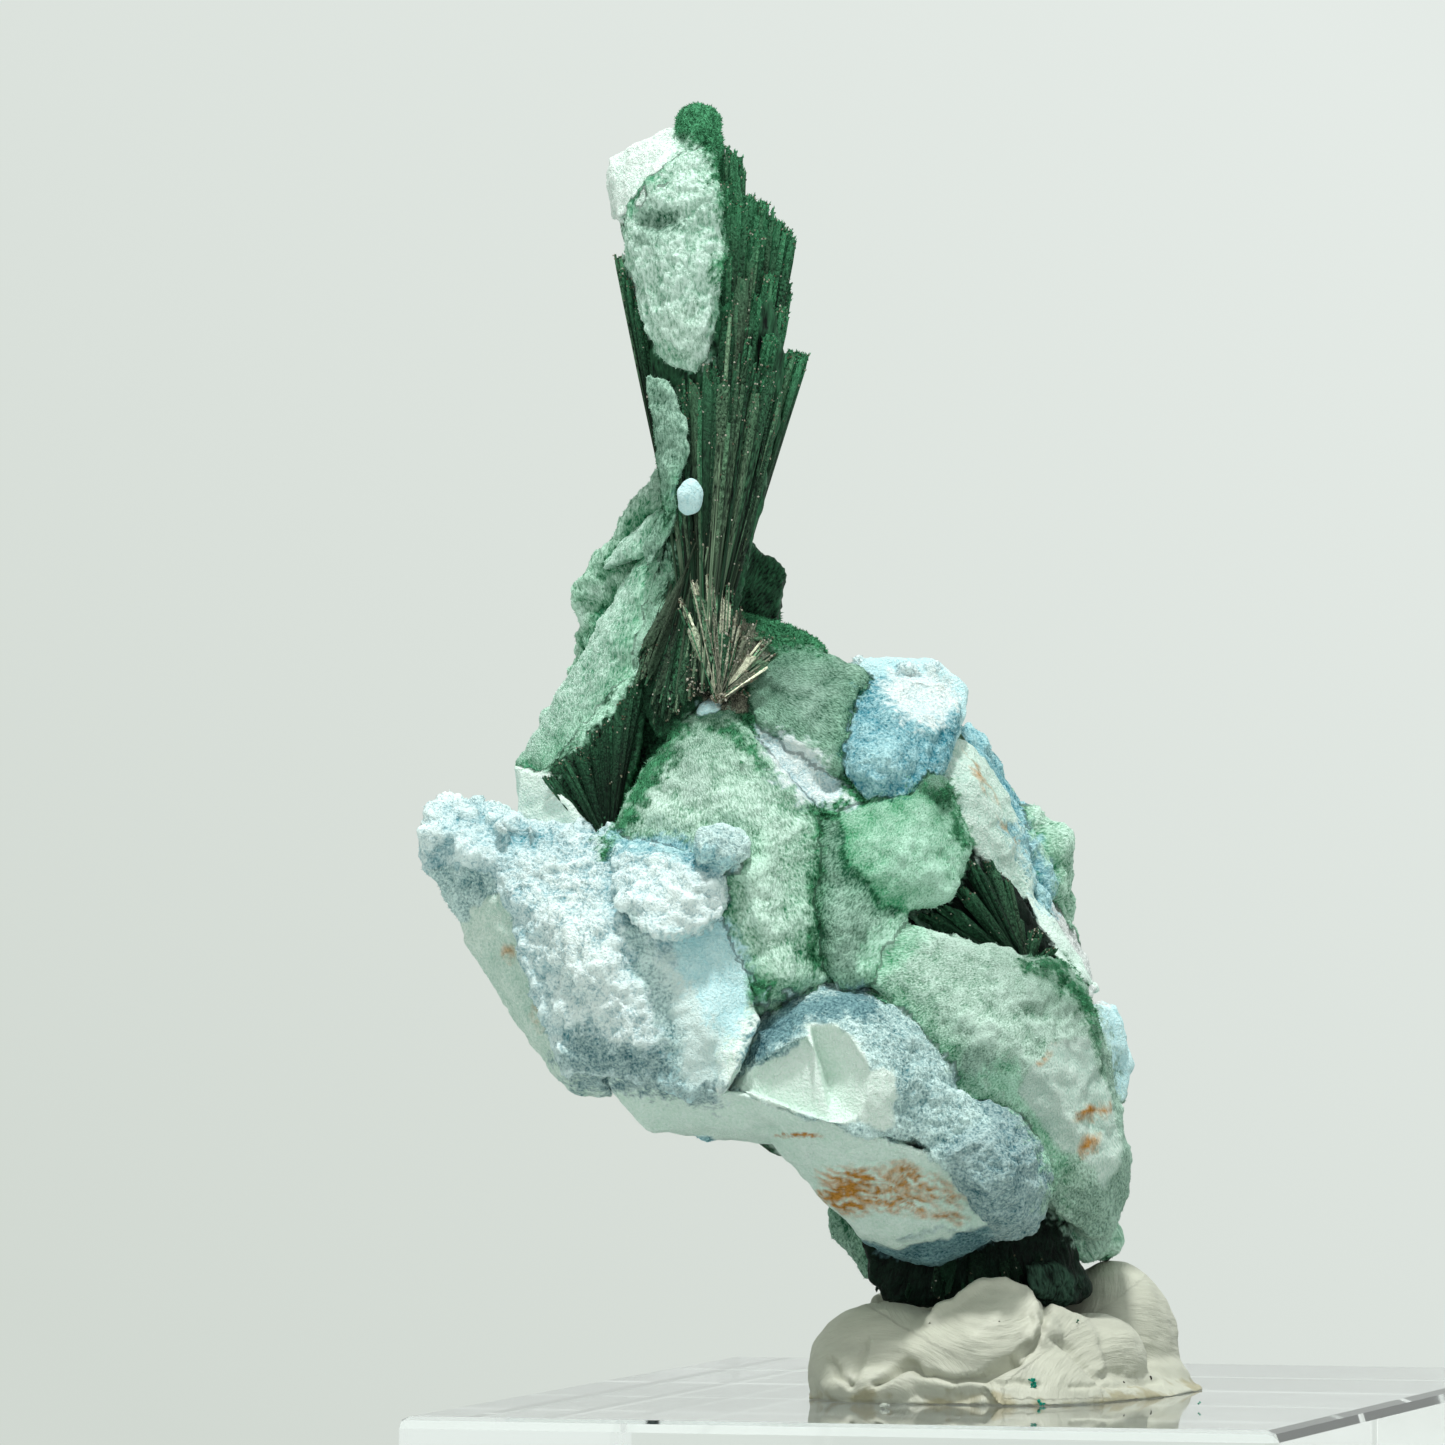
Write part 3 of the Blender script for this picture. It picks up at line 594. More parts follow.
# Patches painted on the front: coat, outline (x, z), and how far back they reach.
PATCHES = [
    ("frost", [
        (-13.0, 67.9), (-12.2, 67.6), (-11.6, 64.0), (-11.2, 62.0), (-12.3, 57.5), (-15.2, 59.0),
        (-16.0, 63.0), (-15.6, 64.1), (-15.1, 64.6), (-14.3, 65.9), (-13.6, 66.9)], -1.0),
    ("grey", [
        (-15.3, 64.4), (-14.4, 64.5), (-13.5, 64.2), (-13.4, 63.4), (-14.2, 62.9), (-15.3, 62.8)], -1.0),
    ("velvet", [
        (-13.9, 68.3), (-12.7, 69.5), (-11.0, 68.6), (-10.9, 60.0), (-11.8, 58.6), (-11.7, 60.4),
        (-11.9, 61.6), (-11.5, 62.6), (-11.7, 64.6), (-11.9, 65.6), (-12.3, 66.8), (-13.3, 67.4)], -1.0),
    ("mint", [
        (-14.3, 60.0), (-12.8, 60.3), (-12.3, 58.8), (-12.8, 57.5), (-13.8, 57.9), (-14.6, 58.9)], -1.0),
    ("bright", [
        (-15.0, 47.6), (-14.2, 49.5), (-13.6, 49.6), (-14.4, 46.4), (-15.1, 44.4), (-15.8, 43.1),
        (-16.8, 41.9), (-18.2, 40.8), (-19.4, 40.0), (-19.6, 40.4), (-18.0, 41.7), (-16.4, 43.2),
        (-15.7, 45.0)], 1.0),
    ("velvet", [
        (-13.6, 42.0), (-12.9, 41.8), (-14.1, 39.8), (-15.9, 36.9), (-16.6, 35.9), (-16.9, 36.6),
        (-15.4, 39.4)], -2.0),
    ("velvet", [
        (-12.0, 41.8), (-10.9, 41.8), (-9.0, 39.5), (-7.2, 38.3), (-6.3, 37.6), (-7.0, 37.4), (-9.0, 39.1),
        (-10.2, 40.3), (-11.4, 41.3)], -3.0),
    ("velvet", [
        (-10.7, 31.0), (-9.8, 31.0), (-9.0, 30.5), (-9.8, 29.8), (-10.4, 29.1), (-10.6, 30.0)], -4.0),
    ("velvet", [
        (-7.6, 38.2), (-7.3, 38.2), (-7.3, 34.6), (-7.5, 32.6), (-7.2, 31.2), (-7.7, 30.8), (-7.9, 32.6),
        (-7.7, 35.6)], -4.0),
    ("velvet", [(-3.2, 39.2), (-1.6, 39.3), (-1.1, 37.6), (-0.6, 36.6), (-1.2, 36.4), (-1.9, 38.2)], -2.0),
    ("bright", [(-5.8, 31.4), (-5.0, 32.9), (-3.4, 33.8), (-2.2, 33.5), (-3.2, 31.9), (-4.8, 30.5)], -4.0),
    ("velvet", [
        (1.4, 31.4), (3.2, 31.6), (4.8, 29.6), (5.6, 26.4), (5.2, 26.2), (4.3, 29.0), (2.8, 30.9)], 0.0),
    ("grey", [
        (-1.6, 26.6), (0.4, 26.2), (1.8, 24.2), (2.8, 22.2), (2.2, 20.6), (3.2, 20.6), (3.4, 23.0),
        (3.0, 24.6), (1.2, 27.2), (-0.8, 27.8)], -2.0),
    ("bright", [
        (-0.6, 26.4), (0.8, 27.4), (2.1, 25.6), (3.4, 22.8), (3.0, 21.6), (2.2, 23.8), (1.0, 25.4)], -2.0),
    ("grey", [
        (4.8, 29.4), (5.4, 27.6), (6.4, 23.8), (6.6, 22.0), (6.0, 18.6), (4.4, 18.8), (3.2, 19.8),
        (3.8, 21.6), (5.2, 22.2), (5.6, 24.4), (5.0, 27.0)], 2.0),
    ("side", [
        (1.8, 26.8), (3.2, 28.2), (4.3, 28.2), (5.2, 26.2), (5.7, 24.2), (5.6, 22.4), (5.1, 21.6),
        (4.3, 22.9), (3.2, 23.1), (2.3, 24.4), (1.4, 25.8)], 0.0),
    ("lavender", [
        (-10.0, 41.5), (-8.6, 41.5), (-7.4, 40.6), (-6.6, 39.2), (-5.9, 38.4), (-8.2, 38.5),
        (-9.3, 39.6)], -3.0),
    ("sky", [
        (-13.9, 32.7), (-12.0, 32.9), (-11.3, 33.2), (-10.3, 31.0), (-10.4, 29.2), (-11.4, 27.8),
        (-12.4, 29.2), (-13.6, 31.4)], -7.0),
    ("smooth", [
        (-15.2, 32.5), (-14.0, 31.7), (-12.9, 30.2), (-11.5, 28.0), (-11.5, 25.3), (-13.4, 25.9),
        (-13.6, 27.6), (-14.3, 29.4), (-14.9, 31.4)], -7.0),
    ("deep", [
        (-10.9, 26.9), (-10.0, 28.9), (-8.2, 30.1), (-5.3, 30.3), (-4.6, 29.1), (-7.7, 28.9),
        (-9.4, 27.6)], -5.0),
    ("blue", [(0.8, 37.4), (1.8, 37.4), (3.0, 35.2), (3.0, 33.6), (2.2, 33.8), (1.8, 35.6)], 3.0),
    ("shade", [
        (-18.6, 26.4), (-16.0, 26.6), (-13.6, 26.2), (-11.6, 26.2), (-11.8, 25.2), (-14.0, 25.6),
        (-18.0, 25.8)], -4.0),
    ("shade", [
        (-18.9, 27.2), (-17.9, 28.6), (-16.2, 27.9), (-13.6, 27.4), (-13.6, 26.3), (-18.0, 26.4)], -4.0),
    ("slate", [
        (-15.4, 33.6), (-14.7, 32.4), (-13.9, 30.0), (-13.4, 27.8), (-13.3, 26.2), (-14.0, 27.2),
        (-14.7, 29.6), (-15.9, 32.6)], -6.0),
    ("blue", [
        (-16.4, 36.9), (-13.4, 36.9), (-11.2, 36.0), (-11.4, 35.4), (-13.4, 36.1), (-16.0, 36.2)], -4.0),
    ("lavender", [
        (-4.4, 44.3), (-2.0, 44.3), (-1.1, 43.0), (-2.0, 41.6), (-3.8, 41.9), (-4.6, 43.0)], 2.0),
    ("cream", [
        (-10.99, 26.26), (-9.69, 27.31), (-8.68, 27.46), (-7.88, 28.21), (-7.73, 28.81), (-6.68, 28.76),
        (-5.98, 28.26), (-5.58, 27.56), (-5.08, 26.7), (-4.28, 26.8), (-3.88, 26.26), (-4.23, 25.45),
        (-4.28, 24.25), (-4.53, 23.95), (-5.68, 24.66), (-6.28, 24.3), (-6.88, 24.35), (-8.29, 24.85),
        (-9.49, 25.25), (-10.79, 25.75)], -7.0),
]

# Stains drawn as streaks over the matrix: middle (x, z), half sizes, turn and strength.
STAINS = [
    (-4.9, 21.5, 2.9, 0.95, -0.30, 1.4), (-6.0, 21.2, 1.6, 0.9, -0.1, 1.5),
    (-2.8, 21.7, 2.2, 0.8, -0.45, 1.2), (-8.3, 23.9, 1.1, 0.14, 0.03, 2.0),
    (-1.6, 20.3, 1.0, 0.3, -0.2, 1.1), (4.6, 24.9, 1.0, 0.45, 0.35, 1.2), (4.4, 23.4, 0.8, 0.45, 0.9, 1.0),
    (-20.9, 31.8, 0.5, 0.5, 0.6, 0.6), (-19.6, 29.0, 0.4, 0.8, 0.3, 0.5),
    (-0.3, 39.4, 1.6, 0.16, -1.0, 0.8), (1.0, 37.0, 1.2, 0.14, -0.9, 0.7), (2.6, 27.4, 0.8, 0.2, 0.9, 0.8),
]

# Colours of the grains of dust.
DUST = [(178, 174, 154), (124, 118, 98), (210, 207, 192), (96, 90, 74)]

# Layers of dust: the fibres they lie on, how many grains, their size, and where the layer keeps to.
DUST_LAYERS = {
    "spire_dust": ("spire_blades", 5600, 0.037, None),
    "neck_dust": ("body_blades", 1500, 0.040, None),
    "neck_powder": ("body_blades", 2000, 0.046, ((-11.7, 44.2), 1.5)),
}

# How far from their apex the streaks of fibres are read.
FIBRE_RADIUS = 8.0


def linear(colour):
    """A colour seen as 0 to 255 levels, as the linear values that a shader takes."""
    levels = np.asarray(colour, float) / 255.0
    return np.where(levels <= 0.04045, levels / 12.92, ((levels + 0.055) / 1.055) ** 2.4)


def placed(points):
    """Points drawn as (x, z, y), as positions in metres in the part's frame."""
    drawn = np.asarray(points, float).reshape(-1, 3)
    reach = (EYE_DISTANCE + drawn[:, 2]) / EYE_DISTANCE
    across = EYE_X + (drawn[:, 0] - EYE_X) * reach
    up = EYE_Z + (drawn[:, 1] - EYE_Z) * reach
    away = drawn[:, 2]
    turned = np.stack([across * math.cos(TURN) - away * math.sin(TURN),
                       across * math.sin(TURN) + away * math.cos(TURN), up], 1)
    return turned * MM


def drawn(points):
    """Positions in metres in the part's frame, as points drawn (x, z, y)."""
    spot = np.asarray(points, float) / MM
    across = spot[:, 0] * math.cos(TURN) + spot[:, 1] * math.sin(TURN)
    away = -spot[:, 0] * math.sin(TURN) + spot[:, 1] * math.cos(TURN)
    reach = (EYE_DISTANCE + away) / EYE_DISTANCE
    return np.stack([EYE_X + (across - EYE_X) / reach, EYE_Z + (spot[:, 2] - EYE_Z) / reach, away], 1)


def lattice(corner, seed):
    """A repeatable direction for each whole-numbered corner of a grid."""
    mixed = (corner[:, 0] * 73856093) ^ (corner[:, 1] * 19349663) ^ (corner[:, 2] * 83492791)
    mixed = (mixed ^ (seed * 374761393)) & 0xFFFFFFFF
    mixed = ((mixed ^ (mixed >> 13)) * 1274126177) & 0xFFFFFFFF
    return DIRECTIONS[(mixed ^ (mixed >> 16)) & 255]


def noise(points, size, seed=0):
    """Smooth noise from about -1 to 1, whose bumps are about one size across."""
    scaled = np.asarray(points, float) / size
    low = np.floor(scaled).astype(np.int64)
    part = scaled - low
    ease = part * part * part * (part * (part * 6 - 15) + 10)
    total = np.zeros(len(scaled))
    for step_x in (0, 1):
        for step_y in (0, 1):
            for step_z in (0, 1):
                step = np.array([step_x, step_y, step_z])
                share = np.where(step == 1, ease, 1 - ease).prod(1)
                slope = lattice(low + step, seed)
                total += share * ((part - step) * slope).sum(1)
    return total * 1.6


def unit_directions():
    dice = np.random.default_rng(3)
    found = dice.normal(size=(256, 3))
    return found / np.linalg.norm(found, axis=1, keepdims=True)


DIRECTIONS = unit_directions()


def deselect_all():
    if bpy.context.mode != "OBJECT":
        bpy.ops.object.mode_set(mode="OBJECT")
    bpy.ops.object.select_all(action="DESELECT")


def pick(piece):
    deselect_all()
    piece.select_set(True)
    bpy.context.view_layer.objects.active = piece


def mesh_object(name, vertices, faces):
    mesh = bpy.data.meshes.new(name)
    mesh.from_pydata(vertices, [], faces)
    made = bpy.data.objects.new(name, mesh)
    bpy.context.scene.collection.objects.link(made)
    return made


def hulled(name, points):
    """A closed convex object round points that are already in place."""
    made = mesh_object(name, [tuple(point) for point in points], [])
    pick(made)
    bpy.ops.object.mode_set(mode="EDIT")
    bpy.ops.mesh.select_all(action="SELECT")
    bpy.ops.mesh.convex_hull(join_triangles=False)
    bpy.ops.object.mode_set(mode="OBJECT")
    return made


def joined(name, pieces):
    deselect_all()
    for piece in pieces:
        piece.select_set(True)
    bpy.context.view_layer.objects.active = pieces[0]
    bpy.ops.object.join()
    pieces[0].name = name
    pieces[0].data.name = name
    return pieces[0]


def apply_modifier(piece, kind, **settings):
    pick(piece)
    step = piece.modifiers.new(kind.lower(), kind)
    for key, value in settings.items():
        setattr(step, key, value)
    bpy.ops.object.modifier_apply(modifier=step.name)


def drop_cavities(piece):
    """Drops shells sealed inside a piece, which a remesh leaves facing inwards."""
    pick(piece)
    bpy.ops.object.mode_set(mode="EDIT")
    bpy.ops.mesh.select_all(action="SELECT")
    bpy.ops.mesh.separate(type="LOOSE")
    bpy.ops.object.mode_set(mode="OBJECT")
    shells = list(bpy.context.selected_objects)
    kept = [shell for shell in shells if volume_of(shell) > 0]
    for shell in shells:
        if shell not in kept:
            bpy.data.objects.remove(shell)
    return joined(kept[0].name, kept)


def one_skin(name, hulls, size, rounds):
    """Joins hulls into one closed skin of faces of a size in millimetres, and smooths it."""
    piece = joined(name, hulls)
    apply_modifier(piece, "REMESH", mode="VOXEL", voxel_size=size * MM, adaptivity=0.0)
    piece = drop_cavities(piece)
    piece.name = name
    apply_modifier(piece, "SMOOTH", factor=0.5, iterations=rounds)
    return piece


def dress(piece, material):
    piece.data.materials.clear()
    piece.data.materials.append(material)


def volume_of(piece):
    """Three times the signed volume that a closed piece of flat faces encloses."""
    count = len(piece.data.polygons)
    facing, middle, area = np.empty(count * 3), np.empty(count * 3), np.empty(count)
    piece.data.polygons.foreach_get("normal", facing)
    piece.data.polygons.foreach_get("center", middle)
    piece.data.polygons.foreach_get("area", area)
    return float(((facing * middle).reshape(-1, 3).sum(1) * area).sum())


def points_of(piece):
    spots = np.empty(len(piece.data.vertices) * 3, np.float32)
    piece.data.vertices.foreach_get("co", spots)
    return spots.reshape(-1, 3).astype(float)


def normals_of(piece):
    facing = np.empty(len(piece.data.vertices) * 3, np.float32)
    piece.data.vertex_normals.foreach_get("vector", facing)
    return facing.reshape(-1, 3).astype(float)


def set_points(piece, spots):
    piece.data.vertices.foreach_set("co", spots.astype(np.float32).ravel())
    piece.data.update()


def chunk_points(rim, back, shrink=0.8, peaks=()):
    """The outline in front, the same outline made smaller at the back, and the peaks."""
    middle_x = sum(point[0] for point in rim) / len(rim)
    middle_z = sum(point[1] for point in rim) / len(rim)
    behind = [(middle_x + (x - middle_x) * shrink, middle_z + (z - middle_z) * shrink, back)
              for x, z, _ in rim]
    return placed([*rim, *behind, *peaks])


def dome_points(middle, half, rings, around):
    """The points of a rounded growth: its poles and the rings between them."""
    x, z, y = middle
    points = [(x, z, y - half[2]), (x, z, y + half[2])]
    for ring in range(1, 2 * rings - 1):
        polar = math.pi * ring / (2 * rings - 1)
        for step in range(around):
            turn = math.tau * (step + 0.5 * (ring % 2)) / around
            points.append((x + half[0] * math.sin(polar) * math.cos(turn),
                           z + half[1] * math.sin(polar) * math.sin(turn),
                           y - half[2] * math.cos(polar)))
    return placed(points)


def cap_points(rim, base, shoulder, crown, middle, edge):
    """A low dome over an outline: its foot, smaller rings nearer the eye, a crown and its broken edge."""
    points = [(middle[0] + (x - middle[0]) * FLARE, middle[1] + (z - middle[1]) * FLARE, base + 0.6)
              for x, z in rim]
    points += [(x, z, base) for x, z in rim]
    for share, depth in CAP_RINGS:
        height = base + (shoulder - base) * depth
        points += [(middle[0] + (x - middle[0]) * share, middle[1] + (z - middle[1]) * share, height)
                   for x, z in rim]
    return placed([*points, crown, *edge])


def bead_points(middle, spread, size, count):
    """The points of each bead in a crowd of them, bead by bead."""
    dice = np.random.default_rng(count)
    for _ in range(count):
        place = np.array(middle) + dice.uniform(-1, 1, 3) * np.array(spread)
        yield dome_points(tuple(place), (size * dice.uniform(0.7, 1.2),) * 3, rings=3, around=8)


def growth_points():
    """Every growth of the specimen by name, as the points of one hull or of several."""
    found = {name: [chunk_points(**chunk)] for name, chunk in CHUNKS.items()}
    found.update({name: [dome_points(middle, half, rings=5, around=16)]
                  for name, (middle, half) in DOMES.items()})
    found["dome_large"] = [cap_points(**DOME_A)]
    found["dome_small"] = [cap_points(**DOME_B)]
    for name, bead in BEADS.items():
        found[name] = list(bead_points(*bead))
    return found


GROWTHS = growth_points()

# The sides of each growth's hulls, and the boxes round them.
PLANES = {}

# A hull's face of less than half this area, in square millimetres, doesn't count as one of its sides.
SLIVER = 0.004

# How far from a lump's own box a growth can still touch its surface, in millimetres.
NEAR = 1.5


def planes_of(piece):
    """The normals and offsets in millimetres of a hull's faces, without slivers."""
    spots = points_of(piece) / MM
    facing, offsets = [], []
    for face in piece.data.polygons:
        corners = spots[list(face.vertices)]
        normal = np.cross(corners[1] - corners[0], corners[2] - corners[0])
        size = np.linalg.norm(normal)
        if size < SLIVER:
            continue
        normal /= size
        offset = (corners @ normal).mean()
        if spots.mean(0) @ normal > offset:
            normal, offset = -normal, -offset
        if (spots @ normal).max() < offset + 0.05:
            facing.append(normal)
            offsets.append(offset)
    return np.array(facing), np.array(offsets)


def learn_planes():
    """Makes the hull of each growth once, to know how far a point is from it."""
    for name, hulls in GROWTHS.items():
        PLANES[name] = []
        for points in hulls:
            piece = hulled("measure", points)
            PLANES[name].append((*planes_of(piece), points.min(0) / MM, points.max(0) / MM))
            bpy.data.objects.remove(piece)


def nearest_growths(spots):
    """For points in millimetres: the nearest growth, its coat, the next coat, and how much farther
    the next coat and the next growth are."""
    low, high = spots.min(0) - NEAR, spots.max(0) + NEAR
    names, rows = [], []
    for name, hulls in PLANES.items():
        near = [hull for hull in hulls if (hull[2] < high).all() and (hull[3] > low).all()]
        if near:
            names.append(name)
            rows.append(np.min([(spots @ facing.T - offsets).max(1)
                                for facing, offsets, _, _ in near], 0))
    depth = np.array(rows)
    first = depth.argmin(0)
    everyone = np.arange(len(spots))
    nearest = depth[first, everyone]
    coats = np.array([coat_index(name) for name in names])
    others = np.where(coats[:, None] == coats[first][None, :], 1e9, depth)
    second = others.argmin(0)
    coat_border = others.min(0) - nearest
    growth_border = np.partition(depth, 1, axis=0)[1] - nearest
    return [names[place] for place in first], coats[first], coats[second], coat_border, growth_border


def coat_index(growth):
    """The number of a growth's coat."""
    for coat, growths in COAT_OF.items():
        if growth in growths.split():
            return COAT_NAMES.index(coat)
    return COAT_NAMES.index("mint")


def apexes(names):
    """Where the fibres of each named growth run from, in millimetres."""
    spot = {name: placed([apex])[0] / MM
            for apex, growths in APEX_OF.items() for name in growths.split()}
    middle = placed([NO_APEX])[0] / MM
    return np.array([spot.get(name, middle) for name in names])


def outline_distance(flat, outline):
    """The signed distance of flat points from an outline, negative inside."""
    ends = np.array(outline, float)
    starts = np.roll(ends, 1, 0)
    nearest = np.full(len(flat), 1e9)
    inside = np.zeros(len(flat), bool)
    for start, end in zip(starts, ends):
        run = end - start
        share = np.clip(((flat - start) @ run) / (run @ run), 0, 1)
        nearest = np.minimum(nearest, np.hypot(*(flat - start - share[:, None] * run).T))
        crosses = (start[1] > flat[:, 1]) != (end[1] > flat[:, 1])
        with np.errstate(divide="ignore", invalid="ignore"):
            reach = (end[0] - start[0]) * (flat[:, 1] - start[1]) / (end[1] - start[1]) + start[0]
        inside ^= crosses & (flat[:, 0] < reach)
    return np.where(inside, -nearest, nearest)


def stain_strength(flat, away, spots):
    """How strongly rust shows: long thin streaks inside each stain's ellipse."""
    total = np.zeros(len(flat))
    for x, z, half_x, half_z, turn, strength in STAINS:
        offset = flat - np.array([x, z])
        along = offset[:, 0] * math.cos(turn) + offset[:, 1] * math.sin(turn)
        across = -offset[:, 0] * math.sin(turn) + offset[:, 1] * math.cos(turn)
        reach = 1 - (along / half_x) ** 2 - (across / half_z) ** 2
        streak = np.stack([along * 0.5, across * 3.0, away * 0.5], 1)
        broken = 0.5 + 0.9 * noise(streak, 0.5, 41) + 0.5 * noise(spots, 0.25, 42)
        total = np.maximum(total, strength * np.clip(reach, 0, 1) ** 0.6 * np.clip(broken, 0, 1.2))
    return np.clip(total * (away < 1.0), 0, 1)


def press_dents(piece):
    """Pushes the front of the mesh back inside each dent."""
    spots = points_of(piece)
    where = drawn(spots)
    push = np.zeros(len(spots))
    for x, z, half_x, half_z, depth, limit in DENTS:
        reach = 1 - ((where[:, 0] - x) / half_x) ** 2 - ((where[:, 1] - z) / half_z) ** 2
        push += depth * np.clip(reach, 0, 1) ** 1.5 * (where[:, 2] < limit)
    away = np.array([-math.sin(TURN), math.cos(TURN), 0.0])
    facing = np.clip(-(normals_of(piece) @ away), 0, 1)
    set_points(piece, spots + (push * facing)[:, None] * away * MM)


def fibre_places(spots, apex, along=0.06):
    """Where noise is read so that it streaks along the fibres that leave an apex."""
    run = spots - apex
    length = np.linalg.norm(run, axis=1, keepdims=True) + 1e-6
    return run / length * (FIBRE_RADIUS + along * length)


def concavity(piece, spots, facing):
    """How deep each point lies in a valley, in millimetres, and negative on a ridge."""
    count = len(piece.data.edges)
    ends = np.empty(count * 2, np.int32)
    piece.data.edges.foreach_get("vertices", ends)
    ends = ends.reshape(-1, 2)
    both = np.concatenate([ends[:, 0], ends[:, 1]])
    other = np.concatenate([ends[:, 1], ends[:, 0]])
    share = np.bincount(both, minlength=len(spots)).astype(float)
    soft = spots
    for _ in range(VALLEY_ROUNDS):
        soft = np.stack([np.bincount(both, soft[other, axis], len(spots)) for axis in range(3)], 1)
        soft /= share[:, None]
    return ((soft - spots) * facing).sum(1)


# Widths in millimetres: of the change from coat to coat, of the same round a soft patch, of the
# velvet where growths meet, and of the deeper colour beside it.
RAMP = 0.14
SOFT_RAMP = 0.4
EDGE_WIDTH = 0.04
GREEN_REACH = 0.75

# Rounds of averaging that find how deep a valley is.
VALLEY_ROUNDS = 14

# A light grain whose red is under this, as a linear value, counts as green.
PALE_LIMIT = 0.30

# Colours of the grains beside the border of a green growth and of a blue one.
BORDER_GREEN = linear((122, 202, 156))
BORDER_BLUE = linear((158, 212, 222))


def coat_rows():
    """Each coat as one row: light and dark grains, share, silk, and the heights of its relief."""
    return np.array([[*linear(coat[0]), *linear(coat[1]), *coat[2:]] for coat in COATS.values()])


def coat_surface(piece):
    """Gives a finished lump its relief, and the colours and silkiness of its grains."""
    spots = points_of(piece) / MM
    facing = normals_of(piece)
    dice = np.random.default_rng(len(spots))
    jag = 0.34 * noise(spots, 0.55, 17) + 0.30 * noise(spots, 0.27, 18)
    jag += dice.normal(0, 0.14, len(spots))
    loose = behind(spots)
    wobble = wander(spots, 0.9, 11) * (0.24 + 0.7 * loose)
    wobble += wander(spots, 0.3, 14) * (0.12 + 0.2 * loose)
    wobble += wander(spots, 2.4, 71) * 1.3 * loose
    names, coats, others, border, growth_border = nearest_growths(spots + wobble)
    where = drawn((spots + wobble * 0.8) * MM)
    rows = coat_rows()
    crisp = np.isin(coats, CRISP) | np.isin(others, CRISP)
    soft = np.where(crisp, 0.06, 0.7)
    mix = np.clip(0.5 - (border + jag * soft) / RAMP, 0, 0.5)[:, None]
    values = rows[coats] * (1 - mix) + rows[others] * mix
    green = np.isin(coats, GREENS)
    valley = concavity(piece, spots, facing)
    edge = EDGE_WIDTH * (1 + 0.8 * noise(spots, 1.6, 34))
    edge = np.clip(0.5 + (edge - growth_border - jag * 0.5) / RAMP, 0, 1) * green
    fade = np.exp(-np.clip(growth_border, 0, None) / GREEN_REACH) * (green + np.isin(coats, BLUES))
    rim_colour = np.where(green[:, None], BORDER_GREEN, BORDER_BLUE)
    for coat, outline, limit in PATCHES:
        number = COAT_NAMES.index(coat)
        width, ramp = (0.06, RAMP) if number in CRISP else (0.9, SOFT_RAMP)
        inside = np.clip(0.5 - (outline_distance(where[:, :2], outline) + jag * width) / ramp, 0, 1)
        inside *= where[:, 2] < limit
        values += (rows[number] - values) * inside[:, None]
        coats = np.where(inside > 0.5, number, coats)
        edge *= 1 - inside
        fade *= 1 - inside
    velvet = rows[COAT_NAMES.index("velvet")]
    values[:, :7] += (velvet[:7] - values[:, :7]) * edge[:, None] * 0.85
    rust = stain_strength(where[:, :2], where[:, 2], spots) * np.isin(coats, STAINED)
    values[:, :6] += (rows[COAT_NAMES.index("rust")][:6] - values[:, :6]) * rust[:, None]
    light, dark = values[:, :3], values[:, 3:6]
    share, silk, lump, grain, streak = values[:, 6:].T
    streaks = fibre_places(spots, apexes(names))
    height = lump * (noise(spots, 1.7, 21) + 0.7 * noise(spots, 0.75, 22))
    height += grain * (noise(spots, 0.4, 23) + 0.8 * noise(spots, 0.24, 24))
    fibres = noise(streaks, 0.55, 25) + 0.8 * noise(streaks, 0.26, 26)
    height += streak * np.abs(fibres) * 1.2
    share = share + 0.18 * noise(spots, 2.6, 31) + 0.16 * noise(spots, 0.9, 32)
    share -= np.where(green, 0.34, 0.18) * fade
    light = light + (rim_colour - light) * (np.where(green, 0.55, 0.35) * fade)[:, None]
    share += streak * 2.0 * noise(streaks, 0.4, 33) + 2.2 * grain * noise(spots, 0.4, 23)
    share -= np.clip(valley, -0.06, 0.10) * 3.0
    skin = spots + facing * height[:, None]
    set_points(piece, skin * MM)
    leaning = fibre_places(spots, apexes(names), 0.5) * green[:, None] + spots * ~green[:, None]
    set_surface(piece, light, dark, share, silk, streaks if piece.name in FIBROUS else leaning)
    row = np.hstack([light, dark, share[:, None]])
    PILE.append((skin, facing, row, np.array(FUZZ)[coats]))


def set_surface(piece, light, dark, share, silk, grain):
    """Stores what the mineral's material reads at each point."""
    store = piece.data.attributes
    ones = np.ones((len(light), 1))
    for name, kind, key, values in (
            ("light_grain", "FLOAT_COLOR", "color", np.hstack([light, ones])),
            ("dark_grain", "FLOAT_COLOR", "color", np.hstack([dark, ones])),
            ("light_share", "FLOAT", "value", share),
            ("silkiness", "FLOAT", "value", silk),
            ("grain_place", "FLOAT_VECTOR", "vector", grain)):
        store.new(name, kind, "POINT").data.foreach_set(key, np.asarray(values, np.float32).ravel())


def make_lump(name):
    """One lump of the specimen: its hulls joined, remeshed as one skin, smoothed, dented and coated."""
    growths, size, rounds = LUMPS[name]
    hulls = [hulled(growth, points) for growth in growths.split() for points in GROWTHS[growth]]
    piece = one_skin(name, hulls, size, rounds)
    press_dents(piece)
    roughen(piece)
    if name == "domes":
        cut_windows(piece)
    coat_surface(piece)
    pick(piece)
    bpy.ops.object.shade_smooth()
    finish_mineral(piece)


def behind(spots):
    """How far round the back each point in millimetres is: 0 in front and 1 behind."""
    return np.clip((drawn(spots * MM)[:, 2:] - 1.0) / 3.0, 0, 1)


def wander(spots, size, seed):
    """Smooth noise as a vector."""
    return np.stack([noise(spots, size, seed + axis) for axis in range(3)], 1)


